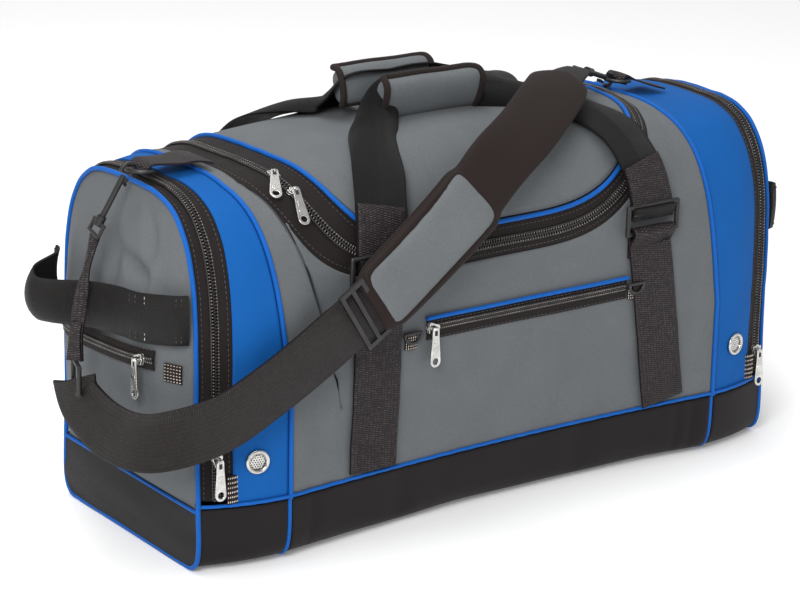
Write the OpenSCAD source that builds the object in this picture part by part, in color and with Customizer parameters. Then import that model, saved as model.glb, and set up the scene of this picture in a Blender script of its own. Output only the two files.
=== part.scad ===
// Sports duffel bag: a soft box with a U-shaped lid zip, a zipped flap at each end, carry handles
// and a clip-on shoulder strap.  Millimetres.  X runs along the bag, the front faces -Y, +Z is up.
// The origin is at the middle of the base, on the ground.

/* [Body] */
// Length between the two end seams
bag_l = 660; // [640:5:690]
// Height of the middle of the bag
bag_h = 357; // [350:1:362]
// Height at the seams between the main panels and the side bands
seam_h = 338; // [334:1:342]
// Height of the two ends
end_h = 331; // [326:1:334]
// Half width of the middle at its fullest
mid_w = 130; // [126:1:132]
// Half width at the panel seams
seam_w = 134; // [130:1:138]
// Half width of the two ends
end_w = 111; // [108:1:114]
// Height of the dark base
base_h = 60; // [55:1:64]
// Distance that the end flaps bulge out
flap_bulge = 27; // [18:1:32]
// Sideways lean of the top of the filled bag
lean = 28; // [20:1:30]

/* [Fabric] */
// Thickness of the shell fabric
fabric_t = 1.5; // [1:0.1:2]
// Thickness of the zip tapes
tape_t = 1.2; // [0.8:0.1:1.4]
// Radius of the piping
piping_r = 2.2; // [1.8:0.1:2.3]
// Width of the carrying webbing
web_w = 50; // [46:1:52]
// Thickness of the webbing
web_t = 2; // [1.4:0.1:2.2]

/* [Hardware] */
// Radius of the plastic rod in the rectangular rings
ring_r = 2.4; // [2:0.1:2.6]
// Wire radius of the D-rings
dring_r = 1.8; // [1.5:0.1:2]
// Radius of the vents
vent_r = 11; // [9:0.5:12]
// Length of a zip pull
pull_l = 36; // [30:1:40]

/* [Hidden] */

grey = [0.42, 0.43, 0.44];
blue = [0.03, 0.30, 0.66];
black = [0.10, 0.09, 0.09];
steel = [0.75, 0.75, 0.74];

end_x = bag_l / 2;
seam_x = end_x - 84;
belly_z = 156;
top_n = 3.5;
base_n = 12;
mid_b = mid_w - 12;
seam_b = seam_w + 2;
end_b = end_w + 8;
seam_gap = piping_r + 0.4;

// Places of the end zip, counted back from the end seam
coil_back = 14;
band_back = 28;
coil_w = 3;

// The lid's outline: middle, hinge angle, and the three lines of its zip as
// [left reach, right reach, front angle]
lid_x = -5;
hinge_a = 132;
lid_line = [205, 200, 32];
coil_line = [230, 206, 27.4];
band_line = [257, 214, 24];

// Handle rings: the axis of their lower rods
ring_x = 157;
ring_y = 136;
ring_z = 243;
ring_w = 60;
ring_h = 26;

function mix(a, b, t) = a + (b - a) * t;
function unit(v) = v / norm(v);

// A size known at the middle, at the panel seams and at the ends, read at station x
function along(x, middle, seam, end) =
    abs(x) <= seam_x ? mix(middle, seam, pow(abs(x) / seam_x, 2))
    : let (t = (abs(x) - seam_x) / (end_x - seam_x)) mix(end, seam, 1 - t * t);
function top_z(x) = along(x, bag_h, seam_h, end_h);

// Radius of a superellipse of power n in the direction a
function squircle(a, n) = pow(pow(abs(cos(a)), n) + pow(abs(sin(a)), n), -1 / n);

// Half width of the skin at station x and height z, before it rounds in
function half_w(x, z) =
    mix(along(x, mid_w, seam_w, end_w), along(x, mid_b, seam_b, end_b),
        pow(max(0, 1 - z / belly_z), 1.5));

// Point of the skin at station x: angle 0 is the front, 90 the top, 180 the back, -90 the base
function bare_skin(x, a) =
    let (up = sin(a) > 0,
        r = squircle(a, up ? top_n : base_n),
        z = belly_z + (up ? top_z(x) - belly_z : belly_z) * sin(a) * r)
    [x, -half_w(x, z) * cos(a) * r, z];

// Outward normal of the skin, taken across the bag
function skin_normal(x, a) =
    let (d = bare_skin(x, a + 0.5) - bare_skin(x, a - 0.5))
    unit([0, -d.z, d.y]);
function skin(x, a, out = 0) = bare_skin(x, a) + out * skin_normal(x, a);

// Angle at which the front of the skin reaches height z
function front_angle(x, z) =
    let (up = z > belly_z,
        n = up ? top_n : base_n,
        q = min(0.9999, up ? (z - belly_z) / (top_z(x) - belly_z) : 1 - z / belly_z))
    (up ? 1 : -1) * atan(q / pow(1 - pow(q, n), 1 / n));

// Line of the lid zip: t is 180 at the left end of the hinge, 90 at the front, 0 at the right end
function rim(t, line, grow = 0) =
    let (left = cos(t) < 0,
        r = squircle(t, left ? 5 : 3.4))
    [lid_x + ((left ? line[0] : line[1]) + grow) * cos(t) * r,
        hinge_a - (hinge_a - line[2] + grow * 0.35) * sin(t) * r];

// Angle at which a rim line crosses station x
function rim_angle(x, line, grow = 0) =
    let (q = abs(x - lid_x) / ((x < lid_x ? line[0] : line[1]) + grow),
        n = x < lid_x ? 5 : 3.4)
    q >= 1 ? hinge_a
    : hinge_a - (hinge_a - line[2] + grow * 0.35) * pow(1 - pow(q, n), 1 / n);

// Panel seam: the station at an angle above the base, leaning left as it rises
function seam_lean(a) = -lean * min(1, max(0, (90 - abs(a - 90)) / 62));
function seam_at(side, a) = side * (seam_x + 2) + seam_lean(a);

// How steeply the skin rises outward along X, in degrees
function skin_slope(x, a) =
    let (d = skin(x + 4, a, 0) - skin(x - 4, a, 0))
    atan2(d * skin_normal(x, a), d.x);

// Smooth curve through control points
function spline(p, t) =
    let (n = len(p) - 1,
        i = min(n - 1, floor(t * n)),
        f = t * n - i,
        a = p[max(0, i - 1)], b = p[i], c = p[i + 1], d = p[min(n, i + 2)])
    0.5 * (2 * b + (c - a) * f + (2 * a - 5 * b + 4 * c - d) * f * f
        + (3 * b - a - 3 * c + d) * f * f * f);
function smooth(p, n) = [for (i = [0:n]) spline(p, i / n)];

// Closed solid between two grids of points, nu by nw cells, the outer one seen from outside
module shell(outer, inner, nu, nw) {
    n = len(outer);
    function k(i, j) = i * (nw + 1) + j;
    faces = [
        for (i = [0:nu - 1], j = [0:nw - 1])
            each [[k(i, j), k(i, j + 1), k(i + 1, j + 1)], [k(i, j), k(i + 1, j + 1), k(i + 1, j)],
                [n + k(i, j), n + k(i + 1, j + 1), n + k(i, j + 1)],
                [n + k(i, j), n + k(i + 1, j), n + k(i + 1, j + 1)]],
        for (i = [0:nu - 1])
            each [[k(i, 0), k(i + 1, 0), n + k(i + 1, 0)], [k(i, 0), n + k(i + 1, 0), n + k(i, 0)],
                [k(i + 1, nw), k(i, nw), n + k(i, nw)],
                [k(i + 1, nw), n + k(i, nw), n + k(i + 1, nw)]],
        for (j = [0:nw - 1])
            each [[k(0, j + 1), k(0, j), n + k(0, j)], [k(0, j + 1), n + k(0, j), n + k(0, j + 1)],
                [k(nu, j), k(nu, j + 1), n + k(nu, j + 1)],
                [k(nu, j), n + k(nu, j + 1), n + k(nu, j)]]
    ];
    polyhedron(concat(outer, inner), faces);
}

// Sheet on the skin: at(u, w) gives [x, angle], with u running to +X and w running up the front
module patch(nu, nw, at, out, thick) {
    grid = [for (i = [0:nu], j = [0:nw]) at(i / nu, j / nw)];
    shell([for (q = grid) skin(q.x, q.y, out)], [for (q = grid) skin(q.x, q.y, out - thick)], nu, nw);
}

// Flat strap through points, face up along normals, with its own width at each point
module ribbon(points, normals, widths, thick) {
    n = len(points) - 1;
    ends = [for (i = [0:n]) unit(points[min(n, i + 1)] - points[max(0, i - 1)])];
    sides = [for (i = [0:n]) unit(cross(normals[i], ends[i]))];
    ups = [for (i = [0:n]) cross(ends[i], sides[i])];
    function row(i, lift) =
        [for (s = [-0.5, 0.5]) points[i] + sides[i] * widths[i] * s + ups[i] * lift];
    shell([for (i = [0:n]) each row(i, thick / 2)], [for (i = [0:n]) each row(i, -thick / 2)], n, 1);
}

// Round cord through points, as a six-sided tube
module cord(points, r) {
    n = len(points) - 1;
    ends = [for (i = [0:n]) unit(points[min(n, i + 1)] - points[max(0, i - 1)])];
    function ring(i) =
        let (ref = abs(ends[i].x) > 0.7 ? [0, 0.6, 0.8] : [1, 0, 0],
            a = unit(cross(ends[i], ref)),
            b = cross(ends[i], a))
        [for (k = [0:5]) points[i] + r * (a * cos(60 * k) + b * sin(60 * k))];
    faces = [
        [for (k = [0:5]) k],
        [for (k = [5:-1:0]) n * 6 + k],
        for (i = [0:n - 1], k = [0:5])
            let (a = i * 6 + k, b = i * 6 + (k + 1) % 6)
            each [[a, a + 6, b + 6], [a, b + 6, b]]
    ];
    polyhedron([for (i = [0:n]) each ring(i)], faces);
}

// Local frame on the skin: Z points outward and X lies along the bag, turned by spin
module on_skin(x, a, out, spin = 0) {
    n = skin_normal(x, a);
    translate(skin(x, a, out))
        rotate([acos(n.z) * (n.y < 0 ? 1 : -1), 0, 0])
            rotate([0, 0, spin])
                children();
}

// ---------------------------------------------------------------- shell

module base_tub() {
    color(black)
        patch(12, 20, function (u, w)
            [mix(-seam_x - 2 + seam_gap, seam_x + 2 - seam_gap, u),
                mix(-148.4, -31.6, w)], 0, fabric_t);
}

module base_board() {
    board = [seam_x * 1.9, mid_b * 1.64, 3];
    color(black)
        translate([0, 0, 4.5 + board.z / 2])
            cube(board, center = true);
}

// Lower part of an end wall: the outline of the base, cut off level below the flap
module end_wall(side) {
    n = 14;
    outline = [for (j = [0:n])
        let (o = skin(end_x, mix(-148.4, -31.6, j / n), -fabric_t / 2))
        [o.y, min(base_h - 2, o.z)]];
    face = side > 0 ? end_x - 0.5 - fabric_t : 0.5 - end_x;
    translate([face, 0, 0])
        rotate([90, 0, 90])
            linear_extrude(fabric_t)
                polygon(outline);
}

module end_base(side) {
    a = side * (seam_x + 2 + seam_gap);
    b = side * end_x;
    patch(4, 14, function (u, w) [mix(min(a, b), max(a, b), u), mix(-148.4, -31.6, w)],
        0, fabric_t);
    end_wall(side);
}

module end_bases() {
    color(black) {
        end_base(-1);
        end_base(1);
    }
}

// Main panels: a column's share s runs from -1 at the left seam to 1 at the right one
panel_left = seam_at(-1, 90) + seam_gap;
panel_right = seam_at(1, 90) - seam_gap;
cut_gap = 1.5;
function panel_reach(left) = left ? lid_x - panel_left : panel_right - lid_x;
function column_top(s) = lid_x + panel_reach(s < 0) * sin(90 * s);
function column_share(x) = asin((x - lid_x) / panel_reach(x < lid_x)) / 90;

// Station of a column, rise going from 0 at the base to 1 above the point where the seams stop leaning
function column_at(s, rise) =
    mix((seam_x + 2 - seam_gap) * s, column_top(s), min(1, max(0, rise)));

// Angle at which column s meets the lid zip, found by halving the range between two angles
function column_end(s, low, high, n = 16) =
    n == 0 ? low
    : let (a = (low + high) / 2, below = a < rim_angle(column_at(s, a / 62), band_line, cut_gap))
    column_end(s, below ? a : low, below ? high : a, n - 1);

// Front panel: from the base line to the lid zip, and beside the lid on to the top of the bag
module front_panel() {
    color(grey)
        patch(36, 14, function (u, w)
            let (s = 2 * u - 1,
                a = mix(-29.6, column_end(s, 0, 89.8), w))
            [column_at(s, a / 62), a], 0, fabric_t);
}

// Back panel: from the hinge down to the base line, with a piece beside each end of the lid that
// starts at the top of the bag; the three pieces meet edge to edge
module back_panel() {
    left = lid_x - band_line[0] - cut_gap;
    right = lid_x + band_line[1] + cut_gap;
    join = 0.2;
    module piece(from, to, top, columns, rows) {
        patch(columns, rows, function (u, w)
            let (a = mix(top, 209.6, w))
            [column_at(column_share(mix(from, to, u)), (180 - a) / 62), a], 0, fabric_t);
    }
    color(grey) {
        piece(panel_left, left - join, 90.2, 3, 20);
        piece(left, right, hinge_a + 2, 20, 14);
        piece(right + join, panel_right, 90.2, 3, 20);
    }
}

module side_band(side) {
    color(blue)
        patch(4, 24, function (u, w)
            let (a = mix(-29.6, 209.6, w),
                seam = seam_at(side, a) + side * seam_gap,
                edge = side * (end_x - band_back))
            [mix(min(seam, edge), max(seam, edge), u), a], 0, fabric_t);
}

module end_dividers() {
    n = 12;
    function row(x) = [for (j = [0:n])
        let (o = skin(seam_x - 12, mix(-24, 204, j / n), -18))
        each [[x, o.y * 0.98, 12], [x, o.y, max(13, o.z)]]];
    color(black)
        for (side = [-1, 1])
            translate([side * (seam_x - 14), 0, 0])
                shell([for (p = row(0)) p + [1, 0, 0]], row(0), n, 1);
}

// ---------------------------------------------------------------- zips

// Strip of the lid zip between two rim lines
module rim_strip(n, line_a, grow_a, line_b, grow_b, out, thick) {
    patch(n, 1, function (u, w)
        mix(rim(180 * (1 - u), line_a, grow_a), rim(180 * (1 - u), line_b, grow_b), w), out, thick);
}

module main_zip_lower() {
    color(black)
        union() {
            rim_strip(48, band_line, -0.4, coil_line, 0.8, -4.05, tape_t);
            rim_strip(48, coil_line, coil_w + 0.4, coil_line, 0.4, 0.1, 4.7);
        }
}

module main_zip_upper() {
    color(black)
        union() {
            rim_strip(48, coil_line, -0.8, lid_line, -5, -3.7, tape_t);
            rim_strip(48, coil_line, -0.4, coil_line, -coil_w - 0.4, 0.1, 4.2);
        }
}

// Tape and coil of an end zip between two distances back from the end seam
module end_strip(side, from, to, out, thick) {
    a = side * (end_x - from);
    b = side * (end_x - to);
    patch(1, 24, function (u, w) [mix(min(a, b), max(a, b), u), mix(-29.6, 209.6, w)], out, thick);
}

module end_zip_inner() {
    color(black)
        for (side = [-1, 1])
            union() {
                end_strip(side, band_back + 4, coil_back + 0.7, -2.4, tape_t);
                end_strip(side, coil_back + coil_w, coil_back + 0.3, 0.1, 2.9);
            }
}

module end_zip_outer(side) {
    color(black)
        union() {
            end_strip(side, coil_back - 0.7, 2.2, -2.8, tape_t);
            end_strip(side, coil_back - 0.3, coil_back - coil_w, 0.1, 3.3);
        }
}

// Strip across the front panel from x0 to x1 between two heights
module front_strip(n, x0, x1, z0, z1, out, thick) {
    patch(n, 1, function (u, w)
        let (x = mix(x0, x1, u))
        [x, front_angle(x, mix(z0, z1, w))], out, thick);
}

pocket_x = [-102, 131];
pocket_z = 200;

module pocket_zip() {
    color(black)
        union() {
            front_strip(10, pocket_x[0], pocket_x[1], pocket_z - 20, pocket_z - 3, 1.2, 0.9);
            front_strip(10, pocket_x[0], pocket_x[1], pocket_z - 11, pocket_z - 6, 2.6, 1.8);
        }
}

module pocket_piping() {
    color(blue)
        cord([for (i = [0:10]) let (x = mix(pocket_x[0], pocket_x[1], i / 10))
            skin(x, front_angle(x, pocket_z), piping_r + 0.3)], piping_r);
}

module pocket_lining() {
    color(black)
        front_strip(8, pocket_x[0] - 6, pocket_x[1] + 6, 84, pocket_z - 4, -6, 1.2);
}

// ---------------------------------------------------------------- piping

module body_piping() {
    color(blue) {
        for (side = [-1, 1]) {
            cord([for (i = [0:30]) let (a = mix(-26, 206, i / 30)) skin(seam_at(side, a), a, 0.4)],
                piping_r);
            cord([for (i = [0:16]) let (a = mix(-148, -32, i / 16))
                skin(side * (seam_x + 2), a, -2.3)], piping_r);
        }
        for (back = [0, 1], part = [-1, 0, 1])
            let (x0 = part == 0 ? -seam_x + 3 : part < 0 ? -end_x + 4 : seam_x + 7,
                x1 = part == 0 ? seam_x - 3 : part < 0 ? -seam_x - 7 : end_x - 4)
            cord([for (i = [0:8]) let (x = mix(x0, x1, i / 8))
                skin(x, back == 0 ? -30.6 : 210.6, 0.4 + piping_r)], piping_r * 0.8);
        for (side = [-1, 1])
            translate([side * (end_x + piping_r * 0.8 + 0.3), 0, base_h - 3])
                rotate([90, 0, 0])
                    cylinder(h = 2 * end_w - 10, r = piping_r * 0.8, center = true, $fn = 24);
    }
}

module lid_piping() {
    color(blue)
        cord([for (i = [0:40]) let (q = rim(mix(177.5, 2.5, i / 40), lid_line)) skin(q.x, q.y, 0.4)],
            piping_r);
}

// ---------------------------------------------------------------- lid

module lid_panel() {
    inset = -seam_gap;
    color(grey)
        patch(24, 10, function (u, w)
            let (s = 0.9995 * sin(180 * u - 90),
                x = lid_x + s * ((s < 0 ? lid_line[0] : lid_line[1]) + inset),
                a0 = rim_angle(x, lid_line, inset))
            [x, mix(a0, hinge_a - 1.5, w)], 0, fabric_t);
}

// ---------------------------------------------------------------- end flaps

// Point of an end flap: w runs over the arch, u from its bottom edge out to the arch
function flap_point(u, w, inset) =
    let (a = mix(-28.5, 208.5, w),
        o = skin(end_x, a, -inset),
        y = mix(o.y * 0.97, o.y, u),
        z = mix(base_h + 3.5, max(base_h + 4.5, o.z), u),
        across = 1 - pow(abs(y) / (end_w * 1.03), 3),
        rise = min(1, max(0, (z - base_h) / (end_h - base_h))))
    [end_x + flap_bulge * max(0, across) * pow(sin(180 * pow(rise, 0.8)), 0.8) * (1 - pow(u, 6)),
        y, z];

module end_flap(side) {
    nu = 8;
    nw = 24;
    grid = [for (i = [0:nu], j = [0:nw]) flap_point(i / nu, 1 - j / nw, seam_gap)];
    color(grey)
        mirror([side < 0 ? 1 : 0, 0, 0])
            shell(grid, [for (p = grid) p - [fabric_t, 0, 0]], nu, nw);
}

module flap_piping(side) {
    color(blue)
        mirror([side < 0 ? 1 : 0, 0, 0])
            cord([for (i = [0:30]) skin(end_x, mix(-28, 208, i / 30), 0.4)], piping_r);
}

// Grab handle: webbing sewn flat near the front, standing out in a loop and sewn again at the back
module grab_handle(side) {
    web = 44;
    path = smooth([[end_x + 16.5, -101, 232], [end_x + 26.5, -62, 226], [end_x + 31, -28, 224],
        [end_x + 42, 2, 222], [end_x + 66, 28, 221], [end_x + 73, 48, 221], [end_x + 60, 70, 223],
        [end_x + 26, 84, 226], [end_x + 19.5, 97, 228]], 26);
    last = len(path) - 1;
    outward = [for (i = [0:last])
        let (t = path[min(last, i + 1)] - path[max(0, i - 1)])
        unit([t.y, -t.x, 0])];
    color(black)
        mirror([side < 0 ? 1 : 0, 0, 0])
            ribbon(path, outward, [for (p = path) web], web_t);
}

flap_zip = [-62, 98];

// Height and outward place of the flap pocket's zip at y
function flap_zip_z(y) = 193 - (y + 62) * 0.06;
function flap_out(y, z) =
    let (across = 1 - pow(abs(y) / (end_w * 1.03), 3),
        rise = (z - base_h) / (end_h - base_h))
    end_x + flap_bulge * max(0, across) * pow(sin(180 * pow(rise, 0.8)), 0.8);

module flap_pocket_zip() {
    n = 10;
    function row(out) = [for (i = [0:n], s = [-7, 7])
        let (y = mix(flap_zip[0], flap_zip[1] - 6, i / n), z = flap_zip_z(y) - 4 + s)
        [-flap_out(y, z) - out, y, z]];
    color(black)
        shell(row(1), row(2.4), n, 1);
}

// ---------------------------------------------------------------- handles

// Webbing sewn up the front from the base to a ring, ending in a hem round the ring's lower rod
module strap_run(side, x_low) {
    hem_r = ring_r + 0.08;
    union() {
        difference() {
            patch(2, 8, function (u, w)
                let (x = mix(x_low, side * ring_x, w) + web_w * (u - 0.5))
                [x, mix(-28, front_angle(x, ring_z - 1), w)], 0.3 + web_t, web_t);
            translate([side * ring_x, -ring_y, ring_z])
                rotate([0, 90, 0])
                    cylinder(h = web_w + 40, r = hem_r, center = true, $fn = 48);
        }
        translate([side * ring_x, -ring_y, ring_z])
            rotate([0, 90, 0])
                difference() {
                    cylinder(h = web_w, r = hem_r + web_t, center = true, $fn = 48);
                    cylinder(h = web_w + 2, r = hem_r, center = true, $fn = 48);
                }
    }
}

module front_straps() {
    color(black) {
        strap_run(-1, -158);
        strap_run(1, 184);
    }
}

module back_straps() {
    color(black)
        rotate([0, 0, 180]) {
            strap_run(-1, -172);
            strap_run(1, 172);
        }
}

// Rectangular ring with its lower rod on the fold axis
module handle_ring(x) {
    translate([x, -ring_y, ring_z]) {
        for (z = [0, ring_h])
            translate([0, 0, z])
                rotate([0, 90, 0])
                    cylinder(h = ring_w, r = ring_r, center = true, $fn = 48);
        for (s = [-1, 1])
            translate([s * ring_w / 2, 0, 0]) {
                cylinder(h = ring_h, r = ring_r, $fn = 32);
                for (z = [0, ring_h])
                    translate([0, 0, z])
                        sphere(r = ring_r, $fn = 32);
            }
    }
}

module handle_rings() {
    color(black)
        for (s = [-1, 1])
            handle_ring(s * ring_x);
}

// Handle webbing from ring to ring, over the shoulder of the bag and through the grip
module handle_webbing(grip) {
    leg = [[ring_x, 27.5, 7], [ring_x - 2, 33, 8], [ring_x - 8, 41, 9], [ring_x - 20, 51, 9],
        [ring_x - 38, 62, 10], [ring_x - 62, 73, 12]];
    low = [for (q = leg) skin(-q.x, q.y, q.z)];
    high = [for (i = [5:-1:0]) skin(leg[i].x, leg[i].y, leg[i].z)];
    path = smooth(concat(low, [grip - [40, 0, 0], grip, grip + [40, 0, 0]], high), 42);
    last = len(path) - 1;
    faces = [for (i = [0:last])
        let (f = abs(i / last * 2 - 1),
            lay = min(1, max(0, (f - 0.15) / 0.14)),
            flat_n = unit([0, path[i].y, (path[i].z - 200) * 1.15]))
        unit(mix([0, -0.9, 0.44], flat_n, lay))];
    widths = [for (i = [0:last]) let (f = abs(i / last * 2 - 1)) mix(27, web_w, min(1, f / 0.6))];
    color(black)
        ribbon(path, faces, widths, web_t);
}

// Padded grip round the middle of a handle
module grip_pad(centre, size, tilt) {
    r = size.y / 2;
    color(grey)
        translate(centre)
            rotate([tilt, 0, 0])
                hull()
                    for (s = [-1, 1], t = [-1, 1])
                        translate([s * (size.x / 2 - r), 0, t * (size.z / 2 - r)])
                            sphere(r = r, $fn = 24);
}

front_grip_at = [-25, -24, 379];
back_grip_at = [-52, 12, 385];

module front_handle_webbing() {
    handle_webbing(front_grip_at);
}

module front_handle_rings() {
    handle_rings();
}

module front_grip() {
    grip_pad(front_grip_at, [118, 21, 40], 20);
}

module back_handle_webbing() {
    rotate([0, 0, 180])
        handle_webbing([-back_grip_at.x, -back_grip_at.y, back_grip_at.z]);
}

module back_handle_rings() {
    rotate([0, 0, 180])
        handle_rings();
}

module back_grip() {
    grip_pad(back_grip_at, [104, 21, 34], -14);
}

// ---------------------------------------------------------------- rings and tabs

// D-ring lying flat: straight rod along Y at the origin, the bow towards -X
module d_ring(half, r) {
    rotate([90, 0, 0])
        cylinder(h = 2 * half, r = r, center = true, $fn = 32);
    rotate([0, 0, 90])
        rotate_extrude(angle = 180, $fn = 64)
            translate([half, 0])
                circle(r = r, $fn = 24);
    for (s = [-1, 1])
        translate([0, s * half, 0])
            sphere(r = r, $fn = 32);
}

left_d = [-324, -14, 343];
right_d = [222, -4, 355];
d_half = 15;

module d_rings() {
    color(black) {
        translate(left_d)
            d_ring(d_half, dring_r);
        translate(right_d)
            d_ring(d_half, dring_r);
    }
}

// Small ring on the front panel, its straight rod along X on a tab
pocket_ring_at = [[-119, 190], [140, 194]];
pocket_tab_out = [1.1, 3.3];
pocket_ring_out = [4.2, 6.6];

module pocket_ring(k) {
    x = pocket_ring_at[k].x;
    z = pocket_ring_at[k].y;
    color(black)
        translate(skin(x, front_angle(x, z), pocket_ring_out[k]))
            rotate([90, 0, 0])
                rotate([0, 0, 90])
                    d_ring(9, 1.5);
}

// Tabs: two that hold the strap's D-rings, two at the ends of the pocket
module webbing_tabs() {
    color(black) {
        ribbon([[-278, -14, 344.5], [-290, -14, 343.5], [-304, -14, 344], [-321.5, -14, 346.8]],
            [for (i = [0:3]) [0, 0, 1]], [30, 28, 27, 26], 1.6);
        ribbon([[262, -4, 342.5], [246, -4, 347], [232, -4, 352], [218.5, -4, 356.8]],
            [for (i = [0:3]) [0, 0, 1]], [34, 30, 27, 26], 1.6);
        for (k = [0, 1])
            let (q = pocket_ring_at[k])
            on_skin(q.x, front_angle(q.x, q.y), pocket_tab_out[k])
                translate([0, -8.5, 0])
                    cube([13, 12, 1.3], center = true);
    }
}

// Metal vents: a rolled rim round a pierced disc
vent_at = [[-281, 101], [277, 108]];

module vents() {
    color(steel)
        for (q = vent_at)
            on_skin(q.x, front_angle(q.x, q.y), 0.4)
                rotate([0, -skin_slope(q.x, front_angle(q.x, q.y)), 0]) {
                difference() {
                    cylinder(h = 0.8, r = vent_r - 1, $fn = 48);
                    for (i = [0:5])
                        rotate([0, 0, 60 * i])
                            translate([5.2, 0, -1])
                                cylinder(h = 3, r = 1.1, $fn = 16);
                    translate([0, 0, -1])
                        cylinder(h = 3, r = 1.1, $fn = 16);
                }
                rotate_extrude($fn = 64)
                    translate([vent_r - 1.4, 1.4])
                        circle(r = 1.4, $fn = 16);
            }
}

// ---------------------------------------------------------------- shoulder strap

strap_path = [[-391, -14, 150], [-388, -45, 134], [-389, -84, 130], [-386, -120, 137],
    [-366, -144, 144], [-328, -152, 153], [-289, -153, 170], [-250, -153, 190], [-209, -153, 214],
    [-171, -153, 237], [-125, -151, 268], [-76, -147, 303], [-30, -132, 332], [20, -110, 350],
    [70, -80, 366], [118, -46, 375], [156, -20, 374]];
strap_face = [[-1, -0.35, 0.1], [-1, -0.1, 0.25], [-1, -0.1, 0.3], [-0.9, -0.5, 0.25],
    [-0.5, -0.85, 0.2], [-0.1, -1, 0.12], [0, -1, 0.1], [0, -1, 0.1], [0, -1, 0.12],
    [0, -1, 0.15], [0, -0.97, 0.25], [0.05, -0.92, 0.4], [0.1, -0.78, 0.6], [0.12, -0.6, 0.8],
    [0.12, -0.4, 0.9], [0.05, -0.2, 1], [0, -0.1, 1]];

module strap_webbing() {
    n = 48;
    path = smooth(strap_path, n);
    face = smooth(strap_face, n);
    color(black)
        ribbon(path, face, [for (i = [0:n]) i > n - 4 ? 34 : i > 34 ? 54 : i > 26 ? 60 : web_w], 2.4);
}

// Pad round the strap where it lies on the shoulder
module strap_pad() {
    n = 10;
    path = [for (i = [0:n]) spline(strap_path, mix(0.545, 0.695, i / n))];
    face = [for (i = [0:n]) spline(strap_face, mix(0.545, 0.695, i / n))];
    color(grey)
        translate([0, -5.2, 2])
            ribbon(path, face, [for (i = [0:n]) i == 0 || i == n ? 56 : 66], 6);
}

// Three-bar slide that sets the strap's length
module strap_adjuster() {
    at = spline(strap_path, 0.535);
    color(black)
        translate(at + [0, -4.6, 0])
            rotate([90, -32, 0])
                for (x = [-12, 0, 12])
                    translate([x, 0, 0])
                        cube([4, 62, 3.4], center = true);
    color(black)
        translate(at + [0, -4.6, 0])
            rotate([90, -32, 0])
                for (y = [-29, 29])
                    translate([0, y, 0])
                        cube([28, 4, 3.4], center = true);
}

// Rectangular loop that joins the wide webbing to the narrow tail
loop_at = [-391, -12, 164];

module strap_loop() {
    color(black)
        translate(loop_at)
            rotate([0, 0, 70])
                for (s = [-1, 1]) {
                    translate([s * 15, 0, 0])
                        cylinder(h = 26, r = 2.2, center = true, $fn = 32);
                    translate([0, 0, s * 13])
                        rotate([0, 90, 0])
                            cylinder(h = 34, r = 2.2, center = true, $fn = 32);
                }
}

hook_l_top = left_d + [-d_half, 0, 0];
hook_l_end = [-364, 0, 286];

// Narrow twisted webbing from the left hook down to the loop
module strap_tail() {
    path = smooth([hook_l_end - [0, 0, 4], [-373, -1, 258], [-381, -4, 230], [-387, -8, 204],
        loop_at + [0, 0, 16]], 16);
    face = smooth([[-0.9, -0.5, 0], [-1, 0.1, 0], [-0.6, -0.8, 0], [-1, -0.3, 0], [-0.95, -0.4, 0]], 16);
    color(black)
        ribbon(path, face, [for (i = [0:16]) mix(15, 24, pow(i / 16, 2))], 2.2);
}

// Swivel snap hook: the D-ring's bow passes through the origin along Y, the hook hangs along -Z
hook_eye_r = 6.2;

module snap_hook(length) {
    rotate([90, 0, 0])
        rotate([0, 0, -40])
            rotate_extrude(angle = 250, $fn = 64)
                translate([hook_eye_r, 0])
                    circle(r = 1.9, $fn = 24);
    translate([-1.6, 0, -length + 16])
        cylinder(h = length - 16 - hook_eye_r, r = 2.6, $fn = 32);
    translate([-1.6, 0, -length + 8])
        cylinder(h = 9, r = 4.2, $fn = 32);
    translate([-1.6, 0, -length]) {
        for (s = [-1, 1])
            translate([0, s * 9, 0])
                cylinder(h = 12, r = 1.7, $fn = 24);
        for (z = [0, 11])
            translate([0, 0, z])
                rotate([90, 0, 0])
                    cylinder(h = 20, r = 1.7, center = true, $fn = 24);
    }
}

// Sprung gate that closes the mouth of the hook
module hook_gate() {
    translate([3, 0, -13])
        rotate([0, 8, 0]) {
            cylinder(h = 5.6, r = 1.2, $fn = 24);
            rotate([90, 0, 0])
                cylinder(h = 5, r = 1.5, center = true, $fn = 24);
        }
}

// Turns a hook so that it hangs from one point towards another
module hang(from, to) {
    d = to - from;
    translate(from)
        rotate([0, atan2(-d.x, -d.z), 0])
            rotate([asin(d.y / norm(d)), 0, 0])
                children();
}

hook_r_top = right_d + [-d_half, 0, 0];
hook_r_end = [164, -14, 371];

module hook_left() {
    color(black)
        hang(hook_l_top, hook_l_end)
            snap_hook(norm(hook_l_end - hook_l_top));
}

module hook_gate_left() {
    color(black)
        hang(hook_l_top, hook_l_end)
            hook_gate();
}

module hook_right() {
    color(black)
        hang(hook_r_top, hook_r_end)
            snap_hook(norm(hook_r_end - hook_r_top));
}

module hook_gate_right() {
    color(black)
        hang(hook_r_top, hook_r_end)
            hook_gate();
}

// ---------------------------------------------------------------- sliders and pulls

slider_lift = 0.9;
end_slider_lift = 2.2;
rod_r = 1.2;
rod_z = 5.4;
pull_w = 11;

// Zip slider: X along the zip, Z outward; its post holds the pull's rod, which is turned by turn
module slider(turn = 0) {
    color(steel) {
        for (x = [-4, 3])
            translate([x, 0, 0])
                cylinder(h = 1.8, r = x < 0 ? 3.6 : 5, $fn = 32);
        translate([-4, -3.6, 0])
            cube([7, 7.2, 1.8]);
        rotate([0, 0, turn])
            difference() {
                translate([-3, -1.5, 1])
                    cube([6, 3, rod_z + 1.6]);
                translate([0, 0, rod_z])
                    rotate([90, 0, 0])
                        cylinder(h = 5, r = rod_r + 0.08, center = true, $fn = 32);
            }
    }
}

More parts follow.
